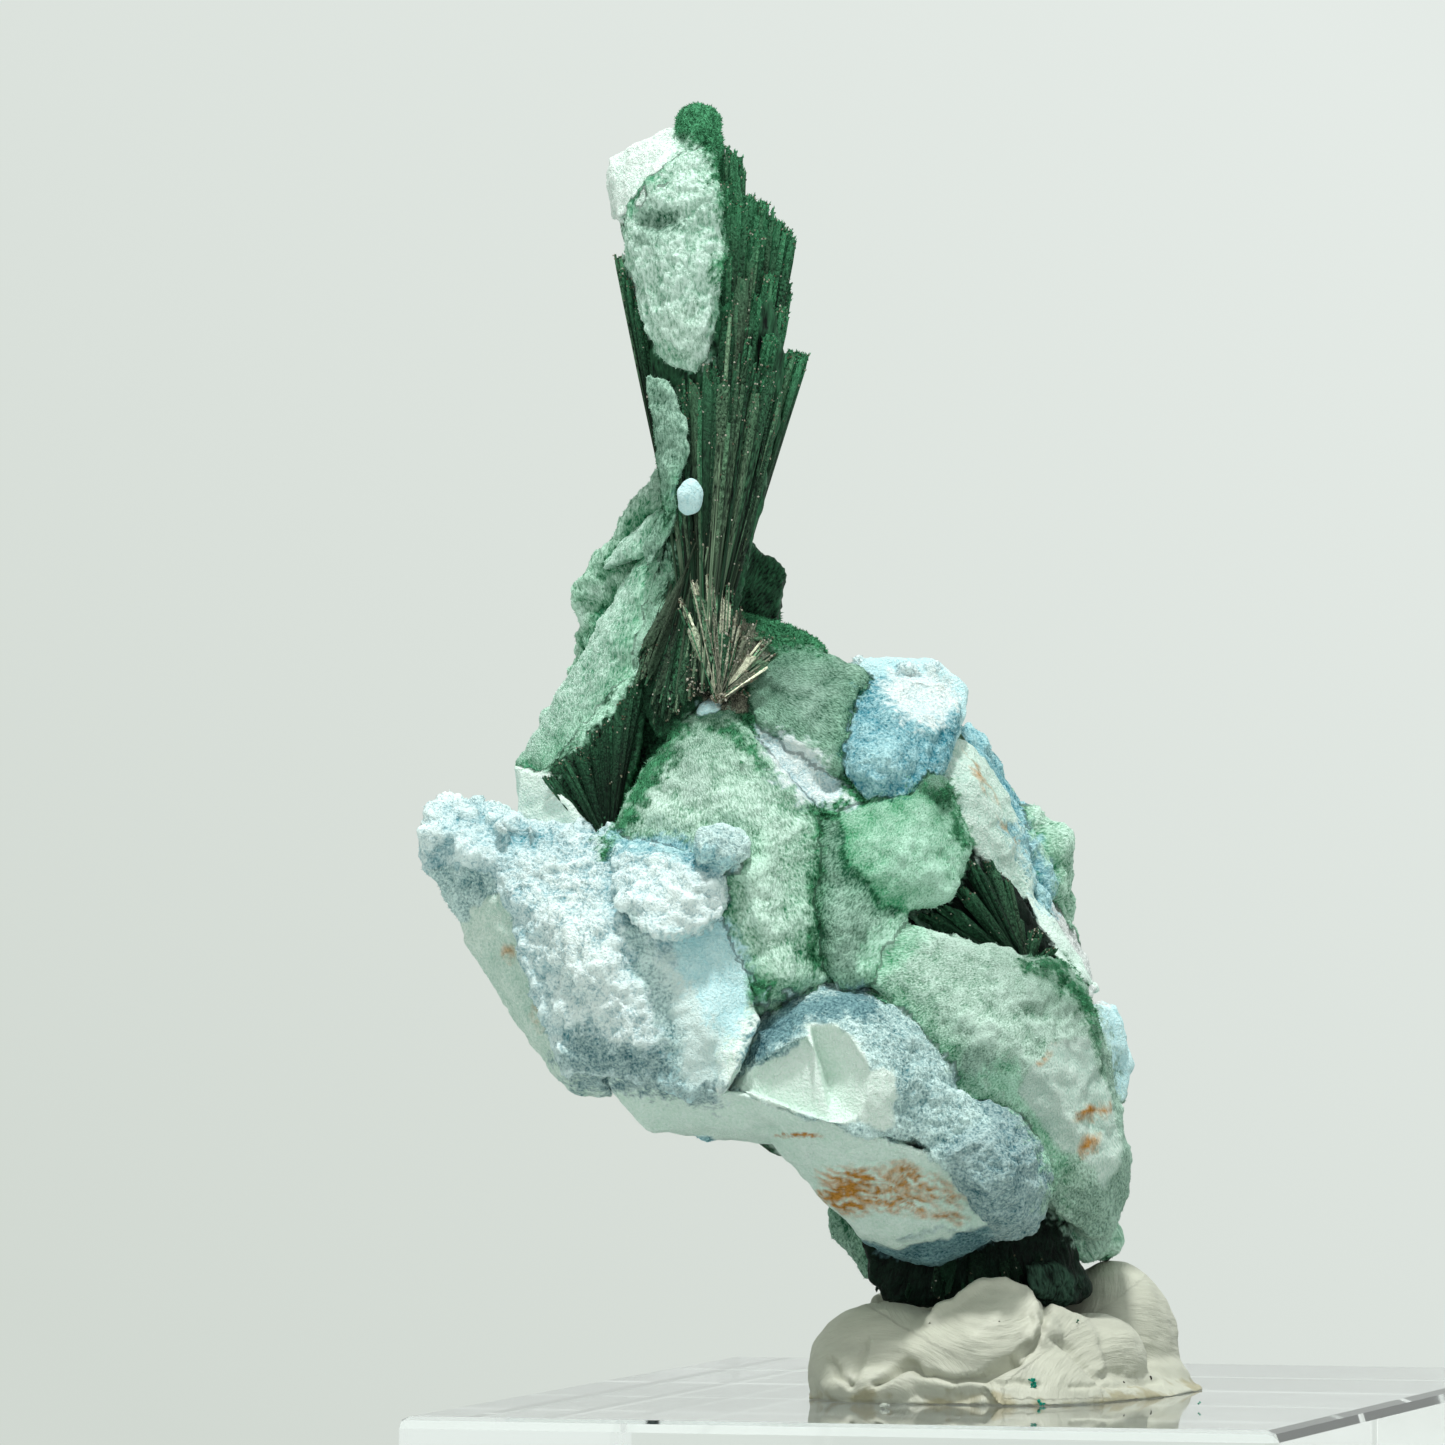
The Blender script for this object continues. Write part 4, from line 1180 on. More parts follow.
# The sizes of the shifts that roughen a skin, how far each goes, and how much farther behind.
ROUGHNESS = ((3.0, 0.0, 0.55), (1.3, 0.13, 0.25), (0.55, 0.06, 0.08))


def roughen(piece):
    """Shifts the skin a little every way, and more behind, so that no outline stays straight."""
    spots = points_of(piece) / MM
    loose = behind(spots)
    for size, reach, more in ROUGHNESS:
        spots = spots + wander(spots, size, 61) * (reach + more * loose)
    set_points(piece, spots * MM)


def cut_windows(piece):
    """Breaks the windows out of the domes, with crisp edges."""
    for name, cut in CUTS.items():
        front = [(x, z, WINDOW_FRONT) for x, z, _ in cut["ring"]]
        cutter = hulled("window_" + name, placed([*cut["ring"], *front, *cut["floor"]]))
        apply_modifier(piece, "BOOLEAN", operation="DIFFERENCE", solver="EXACT", object=cutter)
        bpy.data.objects.remove(cutter)
    apply_modifier(piece, "REMESH", mode="VOXEL", voxel_size=WINDOW_MESH * MM, adaptivity=0.0)
    apply_modifier(piece, "SMOOTH", factor=0.5, iterations=1)


def finish_mineral(piece):
    """The material of a mineral piece, and what it stands for in the frame."""
    dress(piece, mineral_material())
    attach(piece, "root")
    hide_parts("specimen")


# Hairs in millimetres: the least and greatest width, how deep they are rooted, and how far they lean.
HAIR_WIDTHS = (0.022, 0.05)
HAIR_ROOT = 0.04
HAIR_LEAN = 0.55


def make_pile(name, count, green):
    """Short pointed hairs that stand on the powdered skins, green ones or pale ones."""
    dice = np.random.default_rng(count + green)
    spots, facing, rows, lengths = (np.concatenate([part[place] for part in PILE]) for place in range(4))
    is_green = rows[:, 0] < PALE_LIMIT
    weight = lengths * (is_green if green else ~is_green)
    chosen = dice.choice(len(spots), count, p=weight / weight.sum())
    spots, facing, rows, lengths = (part[chosen] for part in (spots, facing, rows, lengths))
    along = facing + dice.normal(0, HAIR_LEAN, (count, 3))
    along /= np.linalg.norm(along, axis=1, keepdims=True)
    side = np.cross(along, dice.normal(size=(count, 3)))
    side /= np.linalg.norm(side, axis=1, keepdims=True)
    other = np.cross(along, side)
    width = dice.uniform(*HAIR_WIDTHS, (count, 1))
    foot = spots - along * HAIR_ROOT
    tip = spots + along * (lengths * dice.uniform(0.35, 1.0, count))[:, None]
    turns = [(math.cos(turn), math.sin(turn)) for turn in (0.0, math.tau / 3, 2 * math.tau / 3)]
    corners = [foot + (side * c + other * s) * width for c, s in turns] + [tip]
    place = np.stack(corners, 1).reshape(-1, 3)
    first = np.arange(count)[:, None] * 4
    faces = np.concatenate([first + corner for corner in ((0, 2, 1), (0, 1, 3), (1, 2, 3), (2, 0, 3))])
    piece = mesh_object(name, place * MM, faces)
    tall = np.tile([0.0, 0.0, 0.0, 1.0], count)
    rows = np.repeat(rows, 4, 0)
    share = rows[:, 6] + 0.25 * tall + np.repeat(dice.normal(0, 0.2, count), 4)
    set_surface(piece, rows[:, :3], rows[:, 3:6], share, share * 0.0, place)
    finish_mineral(piece)


def make_grit(name, source, count, size, near):
    """Grains of dust lying on the front of a piece, or on the part of it near a point."""
    dice = np.random.default_rng(count)
    spots = points_of(source) / MM
    where = drawn(spots * MM)
    ahead = normals_of(source) @ np.array([math.sin(TURN), -math.cos(TURN), 0.0]) > -0.2
    if near is not None:
        (x, z), reach = near
        ahead &= np.hypot(where[:, 0] - x, (where[:, 1] - z) * 0.6) < reach
    found = np.flatnonzero(ahead)
    spots = spots[dice.choice(found, count)] + dice.normal(0, 0.03, (count, 3))
    deselect_all()
    bpy.ops.mesh.primitive_ico_sphere_add(subdivisions=1, radius=1.0)
    grain = bpy.context.object
    shape = points_of(grain)
    corners = np.array([tuple(face.vertices) for face in grain.data.polygons])
    bpy.data.objects.remove(grain)
    scale = size * dice.uniform(0.5, 1.4, (count, 1, 1)) * dice.uniform(0.6, 1.3, (count, 1, 3))
    place = (spots[:, None, :] + shape[None] * scale).reshape(-1, 3)
    faces = (corners[None] + (np.arange(count) * len(shape))[:, None, None]).reshape(-1, 3)
    piece = mesh_object(name, place * MM, faces)
    tone = linear(np.array(DUST, float)[dice.integers(0, len(DUST), count)])
    tone = np.repeat(tone, len(shape), 0)
    flat = np.full(len(place), 0.5)
    set_surface(piece, tone, tone * 0.75, flat, flat * 0.4, place)
    finish_mineral(piece)


# Where a fibre's length is divided, and how deep a fibre is for its width.
BLADE_RINGS = (0.5, 0.8, 0.9, 0.95, 0.985)
BLADE_DEPTH = 0.8

# How far from its end a fibre begins to turn green, and to catch the light, in millimetres.
GREEN_END = 4.0
BRIGHT_END = 0.9


def blade_template():
    """One fibre, a six-sided prism with a rounded end: points as (across, deep, share of its length)."""
    deselect_all()
    bpy.ops.mesh.primitive_cylinder_add(vertices=6, radius=1.0, depth=1.0, location=(0.0, 0.0, 0.5))
    rod = bpy.context.object
    bpy.ops.object.transform_apply(location=True)
    bpy.ops.object.mode_set(mode="EDIT")
    for place in BLADE_RINGS:
        bpy.ops.mesh.select_all(action="SELECT")
        bpy.ops.mesh.bisect(plane_co=(0.0, 0.0, place), plane_no=(0.0, 0.0, 1.0))
    bpy.ops.mesh.select_all(action="SELECT")
    bpy.ops.mesh.quads_convert_to_tris()
    bpy.ops.object.mode_set(mode="OBJECT")
    spots = points_of(rod)
    faces = [tuple(face.vertices) for face in rod.data.polygons]
    bpy.data.objects.remove(rod)
    return spots, faces


def make_blades(name, sprays):
    """Fans of fine fibres, each blade of a spray split into many, dark and silky with velvet ends."""
    template, faces = blade_template()
    silk, velvet, dusty = (COATS[coat] for coat in ("silk", "velvet", "dusty"))
    dice = np.random.default_rng(len(name))
    spots, lights, darks, shares, silks, grains, all_faces = [], [], [], [], [], [], []
    for spray_name in sprays:
        spray = SPRAYS[spray_name]
        count, half, ragged, greenness, dustiness = SPLITS[spray_name]
        root = np.array(spray["root"])
        for tip in spray["tips"]:
            x, z, y, wide, chisel = (*tip, 0.0)[:5]
            tone = dice.uniform(0.6, 1.5)
            for number in range(count + 1):
                core = number == count
                offset = np.zeros(3) if core else dice.normal(0, 0.5, 3).clip(-1, 1)
                top = np.array([x, z, y]) + offset * wide * (0.9, 0.0, 0.9)
                run = top - root
                run /= np.linalg.norm(run)
                fall = chisel * offset[0] * 0.5 + abs(dice.normal(0, ragged))
                fall += (offset @ offset) * wide * 0.3
                top -= run * (fall + (0.3 + 0.6 * wide if core else 0))
                foot = root + offset * np.array([spray["spread"], 0.2, spray["spread"]])
                thick = wide * 0.92 if core else half * dice.uniform(0.7, 1.5)
                thin = thick * (0.5 if core else 0.45)
                place, tip_share = blade(template, foot, top, thin, thick, dice)
                base = len(spots) * len(template)
                spots.append(place)
                all_faces += [tuple(base + corner for corner in face) for face in faces]
                length = np.linalg.norm(top - foot)
                if greenness > 0.9:
                    ends = np.flatnonzero(tip_share > 0.94)
                    rise = placed([top])[0] - placed([foot])[0]
                    rise = np.tile(rise / np.linalg.norm(rise), (len(ends), 1))
                    velvety = np.tile(coat_rows()[COAT_NAMES.index("velvet"), :7], (len(ends), 1))
                    hairs = np.full(len(ends), PILE_LENGTH["velvet"])
                    PILE.append((place[ends] / MM, rise, velvety, hairs))
                near_tip = np.clip(tip_share * length - length + GREEN_END, 0, None)
                green = np.clip(near_tip / GREEN_END, 0, 1) * greenness * dice.uniform(0.6, 1.0)
                bright = np.clip(1 - (1 - tip_share) * length / BRIGHT_END, 0, 1) * greenness
                dust = min(dice.uniform(0, dustiness), 1.0) ** 1.5
                light = linear(silk[0]) * (1 - dust) + linear(dusty[0]) * dust
                light = light * FIBRE_TONE.get(spray_name, 1.0) * tone * dice.uniform(0.35, 1.4) ** 2
                lights.append(light + (linear(velvet[0]) - light) * green[:, None])
                darks.append(linear(silk[1]) + (linear(velvet[1]) - linear(silk[1])) * green[:, None])
                share = silk[2] + 0.25 * dust + dice.normal(0, 0.12)
                shares.append(share + (velvet[2] - silk[2]) * green + 0.3 * bright)
                silks.append(silk[3] * (1 - green))
                shift = dice.uniform(-50, 50, 3)
                grain = template * (thick, thick, 0.35) + shift
                grain[:, 2] += near_tip
                grains.append(grain)
    piece = mesh_object(name, [tuple(spot) for spot in np.vstack(spots)], all_faces)
    set_surface(piece, np.vstack(lights), np.vstack(darks), np.concatenate(shares), np.concatenate(silks),
                np.vstack(grains))
    finish_mineral(piece)


def blade(template, foot, top, thin, thick, dice):
    """The points of one fibre in place, and how far along it each is."""
    run = top - foot
    length = np.linalg.norm(run)
    along = run / length
    wide = np.cross(along, (0.0, 0.0, 1.0))
    wide /= np.linalg.norm(wide)
    deep = np.cross(wide, along)
    turn = dice.uniform(-0.6, 0.6)
    wide, deep = (wide * math.cos(turn) + deep * math.sin(turn),
                  deep * math.cos(turn) - wide * math.sin(turn))
    share = template[:, 2]
    half = (thin + (thick - thin) * share) * np.where(share > 0.985, 0.72, 1.0)
    bend = np.sin(share * math.pi)[:, None] * dice.normal(0, 0.03, 3)
    slant = template[:, 0] * (share > 0.9) * dice.normal(0, 0.5) * thick
    place = (foot + along * (share * length + slant)[:, None] + wide * (template[:, 0] * half)[:, None]
             + deep * (template[:, 1] * half * BLADE_DEPTH)[:, None] + bend)
    return placed(place), share


def tree_for(material):
    """The nodes, the links and the surface shader of a new material."""
    material.use_nodes = True
    nodes = material.node_tree.nodes
    return nodes, material.node_tree.links, nodes["Principled BSDF"]


def attribute_node(nodes, name):
    node = nodes.new("ShaderNodeAttribute")
    node.attribute_name = name
    return node


def math_node(nodes, links, operation, first, second=None, clamp=False):
    node = nodes.new("ShaderNodeMath")
    node.operation = operation
    node.use_clamp = clamp
    for socket, value in zip(node.inputs, (first, second)):
        if isinstance(value, (int, float)):
            socket.default_value = value
        elif value is not None:
            links.new(value, socket)
    return node.outputs[0]


def noise_node(nodes, links, place, scale, detail=2.0, roughness=0.5):
    node = nodes.new("ShaderNodeTexNoise")
    node.inputs["Scale"].default_value = scale
    node.inputs["Detail"].default_value = detail
    node.inputs["Roughness"].default_value = roughness
    links.new(place, node.inputs["Vector"])
    return node.outputs["Fac"]


def mix_node(nodes, links, factor, first, second):
    """Mixes two colours, each of them a socket or a plain colour."""
    node = nodes.new("ShaderNodeMix")
    node.data_type = "RGBA"
    links.new(factor, node.inputs["Factor"])
    for key, colour in (("A", first), ("B", second)):
        if isinstance(colour, bpy.types.NodeSocket):
            links.new(colour, node.inputs[key])
        else:
            node.inputs[key].default_value = (*colour, 1.0)
    return node.outputs["Result"]


def range_node(nodes, links, value, low, high, at_low=0.0, at_high=1.0):
    """Goes from one number to another as a value goes from low to high."""
    node = nodes.new("ShaderNodeMapRange")
    for key, number in (("From Min", low), ("From Max", high), ("To Min", at_low), ("To Max", at_high)):
        node.inputs[key].default_value = number
    links.new(value, node.inputs["Value"])
    return node.outputs["Result"]


def add_bump(nodes, links, shader, height, strength, distance):
    """Bumps of a height, given in millimetres."""
    bump = nodes.new("ShaderNodeBump")
    bump.inputs["Strength"].default_value = strength
    bump.inputs["Distance"].default_value = distance * MM
    links.new(height, bump.inputs["Height"])
    links.new(bump.outputs["Normal"], shader.inputs["Normal"])


def mineral_material():
    """Grains of two colours, as the surface's own attributes say, with their relief."""
    found = bpy.data.materials.get("mineral")
    if found:
        return found
    material = bpy.data.materials.new("mineral")
    nodes, links, shader = tree_for(material)
    place = attribute_node(nodes, "grain_place").outputs["Vector"]
    fineness = MM / bpy.context.scene.specimen_look.grain
    grains = noise_node(nodes, links, place, fineness, detail=3.0, roughness=0.65)
    share = attribute_node(nodes, "light_share").outputs["Fac"]
    level = math_node(nodes, links, "SUBTRACT", grains, 0.5)
    level = math_node(nodes, links, "MULTIPLY", level, 2.5)
    level = math_node(nodes, links, "ADD", level, share, clamp=True)
    dark, light = (attribute_node(nodes, key).outputs["Color"] for key in ("dark_grain", "light_grain"))
    links.new(mix_node(nodes, links, level, dark, light), shader.inputs["Base Color"])
    silk = attribute_node(nodes, "silkiness").outputs["Fac"]
    rough = math_node(nodes, links, "MULTIPLY", silk, -0.5)
    rough = math_node(nodes, links, "ADD", rough, 0.92, clamp=True)
    links.new(rough, shader.inputs["Roughness"])
    shader.inputs["Specular IOR Level"].default_value = 0.14
    add_bump(nodes, links, shader, grains, 1.0, 0.18)
    return material


def putty_material():
    """Grey tack: soft, faintly streaked where it was pulled, with a dusting of grit."""
    material = bpy.data.materials.new("putty")
    nodes, links, shader = tree_for(material)
    coordinates = nodes.new("ShaderNodeTexCoord").outputs["Object"]
    mapping = nodes.new("ShaderNodeMapping")
    mapping.inputs["Scale"].default_value = (1.0, 1.0, 3.0)
    links.new(coordinates, mapping.inputs["Vector"])
    blotch = noise_node(nodes, links, mapping.outputs["Vector"], 500.0, detail=4.0)
    ramp = nodes.new("ShaderNodeValToRGB")
    tone = np.array(bpy.context.scene.specimen_look.putty)
    ramp.color_ramp.elements[0].position = 0.3
    ramp.color_ramp.elements[0].color = (*(tone * 0.84), 1.0)
    ramp.color_ramp.elements[1].position = 0.7
    ramp.color_ramp.elements[1].color = (*tone, 1.0)
    links.new(blotch, ramp.inputs["Fac"])
    height = nodes.new("ShaderNodeSeparateXYZ")
    links.new(coordinates, height.inputs[0])
    seam = noise_node(nodes, links, coordinates, 900.0, detail=2.0)
    seam = math_node(nodes, links, "MULTIPLY", seam, 2.6 * MM)
    rise = math_node(nodes, links, "SUBTRACT", height.outputs["Z"], seam)
    low = range_node(nodes, links, rise, (BLOCK_TOP - 1.3) * MM, (BLOCK_TOP - 0.9) * MM, 0.75, 0.0)
    tint = mix_node(nodes, links, low, ramp.outputs["Color"], bpy.context.scene.specimen_look.seam)
    links.new(tint, shader.inputs["Base Color"])
    shader.inputs["Roughness"].default_value = 0.55
    fine = noise_node(nodes, links, coordinates, 6000.0, detail=3.0)
    pulled = attribute_node(nodes, "pull_place").outputs["Vector"]
    lines = noise_node(nodes, links, pulled, 7.0, detail=4.0, roughness=0.6)
    lines = math_node(nodes, links, "MULTIPLY", lines, 1.5)
    fine = math_node(nodes, links, "MULTIPLY", fine, 0.4)
    relief = math_node(nodes, links, "ADD", lines, fine)
    add_bump(nodes, links, shader, relief, 0.7, 0.06)
    return material


def acrylic_material():
    """Clear polished acrylic with faint rubbed patches."""
    material = bpy.data.materials.new("clear_block")
    nodes, links, shader = tree_for(material)
    shader.inputs["Base Color"].default_value = (*bpy.context.scene.specimen_look.block, 1.0)
    shader.inputs["Transmission Weight"].default_value = 1.0
    shader.inputs["IOR"].default_value = 1.49
    coordinates = nodes.new("ShaderNodeTexCoord").outputs["Object"]
    rubbed = noise_node(nodes, links, coordinates, 160.0, detail=5.0)
    rough = math_node(nodes, links, "MULTIPLY", rubbed, 0.12, clamp=True)
    rough = math_node(nodes, links, "SUBTRACT", rough, 0.03, clamp=True)
    links.new(rough, shader.inputs["Roughness"])
    return material


# How near a crumb's place the putty holds it, and how far back the crumbs that it doesn't hold lie.
CRUMB_REACH = 0.25
ON_BLOCK = -13.0

# Crumbs: place (x, z), size, colour and how many grains.
CRUMBS = [
    (1.95, 13.3, 0.10, (36, 178, 150), 7), (2.1, 13.1, 0.08, (30, 150, 128), 4),
    (2.55, 12.2, 0.09, (40, 176, 148), 4), (6.1, 13.3, 0.07, (58, 56, 50), 3),
    (7.3, 13.4, 0.07, (58, 56, 50), 4), (-4.5, 11.9, 0.12, (214, 220, 208), 5),
    (9.2, 12.2, 0.05, (60, 170, 140), 2), (4.0, 15.9, 0.06, (40, 120, 90), 2),
    (0.6, 16.0, 0.03, (70, 70, 62), 3), (-2.6, 15.9, 0.03, (70, 70, 62), 3),
]

# Size of the putty's mesh and rounds of smoothing, and what the fingers left on it: where it was
# pulled round a point, how far and how strongly, and creases with their path, width and depth.
PUTTY_MESH = 0.12
PUTTY_ROUNDS = 14
PULLS = [((0.2, 17.4), 3.8, 0.06), ((6.0, 12.4), 6.0, 0.035), ((-4.6, 12.0), 4.0, 0.05)]
CREASES = [
    ([(-2.6, 15.7), (-2.1, 16.35), (-1.4, 16.6), (-0.9, 17.0), (-0.1, 17.4), (0.7, 17.45), (1.5, 17.1),
      (2.0, 16.4), (2.15, 15.7), (1.8, 15.0)], 0.16, -0.22),
    ([(2.45, 16.9), (2.6, 16.2), (2.5, 15.4), (2.0, 14.7), (1.2, 14.1)], 0.14, 0.3),
    ([(-4.9, 13.0), (-3.9, 13.7), (-3.4, 13.9), (-2.6, 13.5), (-1.4, 13.2), (0.0, 13.4), (1.3, 14.1)],
     0.16, 0.5),
    ([(-6.9, 14.2), (-6.4, 13.5), (-6.0, 13.0)], 0.18, 0.28),
    ([(-6.0, 13.0), (-5.6, 13.9), (-5.4, 15.0)], 0.16, 0.18),
    ([(2.5, 15.9), (2.8, 15.0), (3.6, 14.6), (4.8, 13.2)], 0.2, 0.2),
    ([(-0.6, 13.2), (0.9, 13.1), (2.2, 13.0)], 0.12, 0.15),
    ([(3.6, 12.9), (5.6, 12.95), (7.4, 13.1)], 0.1, 0.15),
]


def on_block(spots):
    """Positions in metres, none of them lower than the block's top face."""
    spots[:, 2] = np.maximum(spots[:, 2], (BLOCK_TOP + CONTACT) * MM)
    return spots


def crease(where, path, width, depth):
    """How far a narrow crease along a drawn path sinks each point."""
    ends = np.array(path, float)
    nearest = np.full(len(where), 1e9)
    for start, end in zip(ends, ends[1:]):
        run = end - start
        share = np.clip(((where[:, :2] - start) @ run) / (run @ run), 0, 1)
        nearest = np.minimum(nearest, np.hypot(*(where[:, :2] - start - share[:, None] * run).T))
    return -depth * np.exp(-(nearest / width) ** 2) * (where[:, 2] < -2.0)


def make_crumbs():
    """Crumbs of the minerals and specks of grit on the putty's front and on the block."""
    putty = bpy.data.objects["putty_tack"]
    spots = points_of(putty)
    where = drawn(spots)
    dice = np.random.default_rng(9)
    for number, (x, z, size, colour, count) in enumerate(CRUMBS):
        near = np.flatnonzero(np.hypot(where[:, 0] - x, where[:, 1] - z) < CRUMB_REACH)
        front = spots[near[where[near, 2].argmin()]] if len(near) else placed([(x, z, ON_BLOCK)])[0]
        front = front / MM
        hulls = []
        for _ in range(count):
            middle = front + dice.normal(0, size * 0.8, 3) * (1.0, 0.4, 1.0)
            middle[2] = max(middle[2], BLOCK_TOP + size)
            shape = dice.normal(size=(12, 3))
            shape /= np.linalg.norm(shape, axis=1, keepdims=True)
            hulls.append(hulled("crumb", (middle + shape * size) * MM))
        crumb = joined("crumb_%d" % number, hulls)
        tone = np.repeat(linear([colour]), len(crumb.data.vertices), 0)
        level = np.full(len(tone), 0.6)
        set_surface(crumb, tone, tone * 0.4, level, level * 0.3, points_of(crumb) / MM)
        finish_mineral(crumb)


def make_putty():
    """The putty's folds as one soft skin, with its pulls and creases."""
    folds = [hulled("putty_" + name, on_block(placed(points))) for name, points in PUTTY.items()]
    for name, (middle, half) in PUTTY_DOMES.items():
        points = on_block(dome_points(middle, half, rings=5, around=18))
        folds.append(hulled("putty_" + name, points))
    putty = one_skin("putty_tack", folds, PUTTY_MESH, PUTTY_ROUNDS)
    spots = points_of(putty) / MM
    where = drawn(spots * MM)
    height = 0.10 * noise(spots, 2.2, 51) + 0.05 * noise(spots, 0.9, 52)
    marks = np.zeros((len(spots), 3))
    best = np.full(len(spots), 1e9)
    for (x, z), reach, strength in PULLS:
        offset = where[:, :2] - (x, z)
        arc = np.hypot(offset[:, 0], offset[:, 1] * 1.25)
        turn = np.arctan2(offset[:, 1], offset[:, 0])
        pulled = np.stack([arc, turn * 0.5, where[:, 2] * 0.1], 1)
        near = np.exp(-(arc / reach) ** 4) * (1 - np.exp(-(arc / 1.1) ** 2)) * (where[:, 2] < 8.0)
        height += strength * near * (noise(pulled, 0.36, 53) + 0.6 * noise(pulled, 0.18, 55))
        closer = arc < best
        best = np.minimum(arc, best)
        marks[closer] = np.stack([arc, turn * 0.4, where[:, 2] * 0.15], 1)[closer]
    putty.data.attributes.new("pull_place", "FLOAT_VECTOR", "POINT").data.foreach_set(
        "vector", marks.astype(np.float32).ravel())
    for path, width, depth in CREASES:
        height += crease(where + 0.12 * noise(spots, 0.8, 56)[:, None], path, width, depth)
    moved = spots + normals_of(putty) * height[:, None]
    moved[:, 2] = np.maximum(moved[:, 2], BLOCK_TOP + CONTACT)
    set_points(putty, moved * MM)
    pick(putty)
    bpy.ops.object.shade_smooth()
    dress(putty, putty_material())
    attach(putty, "root")
    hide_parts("putty")


def finish_block():
    """The block keeps its own solid, with a clear material."""
    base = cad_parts["base"]
    dress(base, acrylic_material())


# The floor's radius and where it fades out, where the lights aim, and the lens, all in millimetres.
FLOOR_RADIUS = 160
FADE_START = 90
FADE_END = 158
AIM = (-9, 0, 36)
LENS = 302.6

# Lamps: place as (across, away, up) for the camera, and size.
KEY_LAMP = ((-20, -150, 600), 50)
LOW_LAMP = ((-60, -420, -4), 260)


def floor_material(settings):
    """Plain pale paper that fades out far from the specimen."""
    material = bpy.data.materials.new("floor")
    nodes, links, shader = tree_for(material)
    shader.inputs["Base Color"].default_value = (*settings.floor_colour, 1.0)
    shader.inputs["Roughness"].default_value = 0.9
    coordinates = nodes.new("ShaderNodeTexCoord").outputs["Object"]
    length = nodes.new("ShaderNodeVectorMath")
    length.operation = "LENGTH"
    links.new(coordinates, length.inputs[0])
    fade = range_node(nodes, links, length.outputs["Value"], FADE_START * MM, FADE_END * MM, 1.0, 0.0)
    links.new(fade, shader.inputs["Alpha"])
    return material


def in_view(x, y, z):
    """A place in metres from view millimetres: across, away and up as the camera sees it."""
    return Matrix.Rotation(TURN, 3, "Z") @ Vector((x, y, z)) * MM


def add_lamp(name, place, size, power):
    """A square light of a size in millimetres, turned to the specimen."""
    data = bpy.data.lights.new(name, "AREA")
    data.energy = power
    data.size = size * MM
    lamp = bpy.data.objects.new(name, data)
    bpy.context.scene.collection.objects.link(lamp)
    lamp.location = in_view(*place)
    lamp.rotation_euler = (in_view(*AIM) - lamp.location).to_track_quat("-Z", "Y").to_euler()


def make_world(settings):
    """Pale surroundings: softer light on surfaces, and a glow overhead that only reflections see."""
    world = bpy.data.worlds.new("studio")
    bpy.context.scene.world = world
    world.use_nodes = True
    nodes, links = world.node_tree.nodes, world.node_tree.links
    background = nodes["Background"]
    fall = nodes.new("ShaderNodeLightPath").outputs["Is Diffuse Ray"]
    strength = math_node(nodes, links, "MULTIPLY", fall, settings.fill - 1.0)
    strength = math_node(nodes, links, "ADD", strength, 1.0)
    coordinates = nodes.new("ShaderNodeTexCoord").outputs["Generated"]
    height = nodes.new("ShaderNodeSeparateXYZ")
    links.new(coordinates, height.inputs[0])
    above = range_node(nodes, links, height.outputs["Z"], 0.80, 0.96, 0.0, settings.overhead)
    seen = math_node(nodes, links, "SUBTRACT", 1.0, fall)
    glow = math_node(nodes, links, "MULTIPLY", above, seen)
    strength = math_node(nodes, links, "ADD", strength, glow)
    links.new(strength, background.inputs["Strength"])
    across = in_view(0.9, 0.0, 1.0) / MM
    dot = nodes.new("ShaderNodeVectorMath")
    dot.operation = "DOT_PRODUCT"
    dot.inputs[1].default_value = across
    links.new(coordinates, dot.inputs[0])
    ramp = range_node(nodes, links, dot.outputs["Value"], -0.1, 0.1)
    colour = mix_node(nodes, links, ramp, settings.backdrop_low, settings.backdrop_high)
    links.new(colour, background.inputs["Color"])


def make_camera():
    """The eye of the photograph."""
    camera = bpy.data.objects.new("eye", bpy.data.cameras.new("eye"))
    bpy.context.scene.collection.objects.link(camera)
    camera.location = in_view(EYE_X, -EYE_DISTANCE, EYE_Z)
    camera.rotation_euler = (math.pi / 2, 0.0, TURN)
    camera.data.lens = LENS
    camera.data.clip_start = 0.01
    bpy.context.scene.camera = camera


class LookSettings(bpy.types.PropertyGroup):
    """Powders, fuzz, putty and block"""

    grain: bpy.props.FloatProperty(
        name="Grain", description="Size of the powders' grains", default=0.125 * MM, precision=6,
        unit="LENGTH")
    green_hairs: bpy.props.IntProperty(
        name="Green hairs", description="Hairs on the green powders", default=40000)
    pale_hairs: bpy.props.IntProperty(
        name="Pale hairs", description="Hairs on the pale powders", default=44000)
    putty: bpy.props.FloatVectorProperty(
        name="Putty", description="Colour of the putty", default=(0.515, 0.527, 0.434), subtype="COLOR")
    seam: bpy.props.FloatVectorProperty(
        name="Seam", description="Colour of the putty where it meets the block",
        default=(0.305, 0.271, 0.150), subtype="COLOR")
    block: bpy.props.FloatVectorProperty(
        name="Block", description="Tint of the clear block", default=(0.97, 0.99, 0.985), subtype="COLOR")


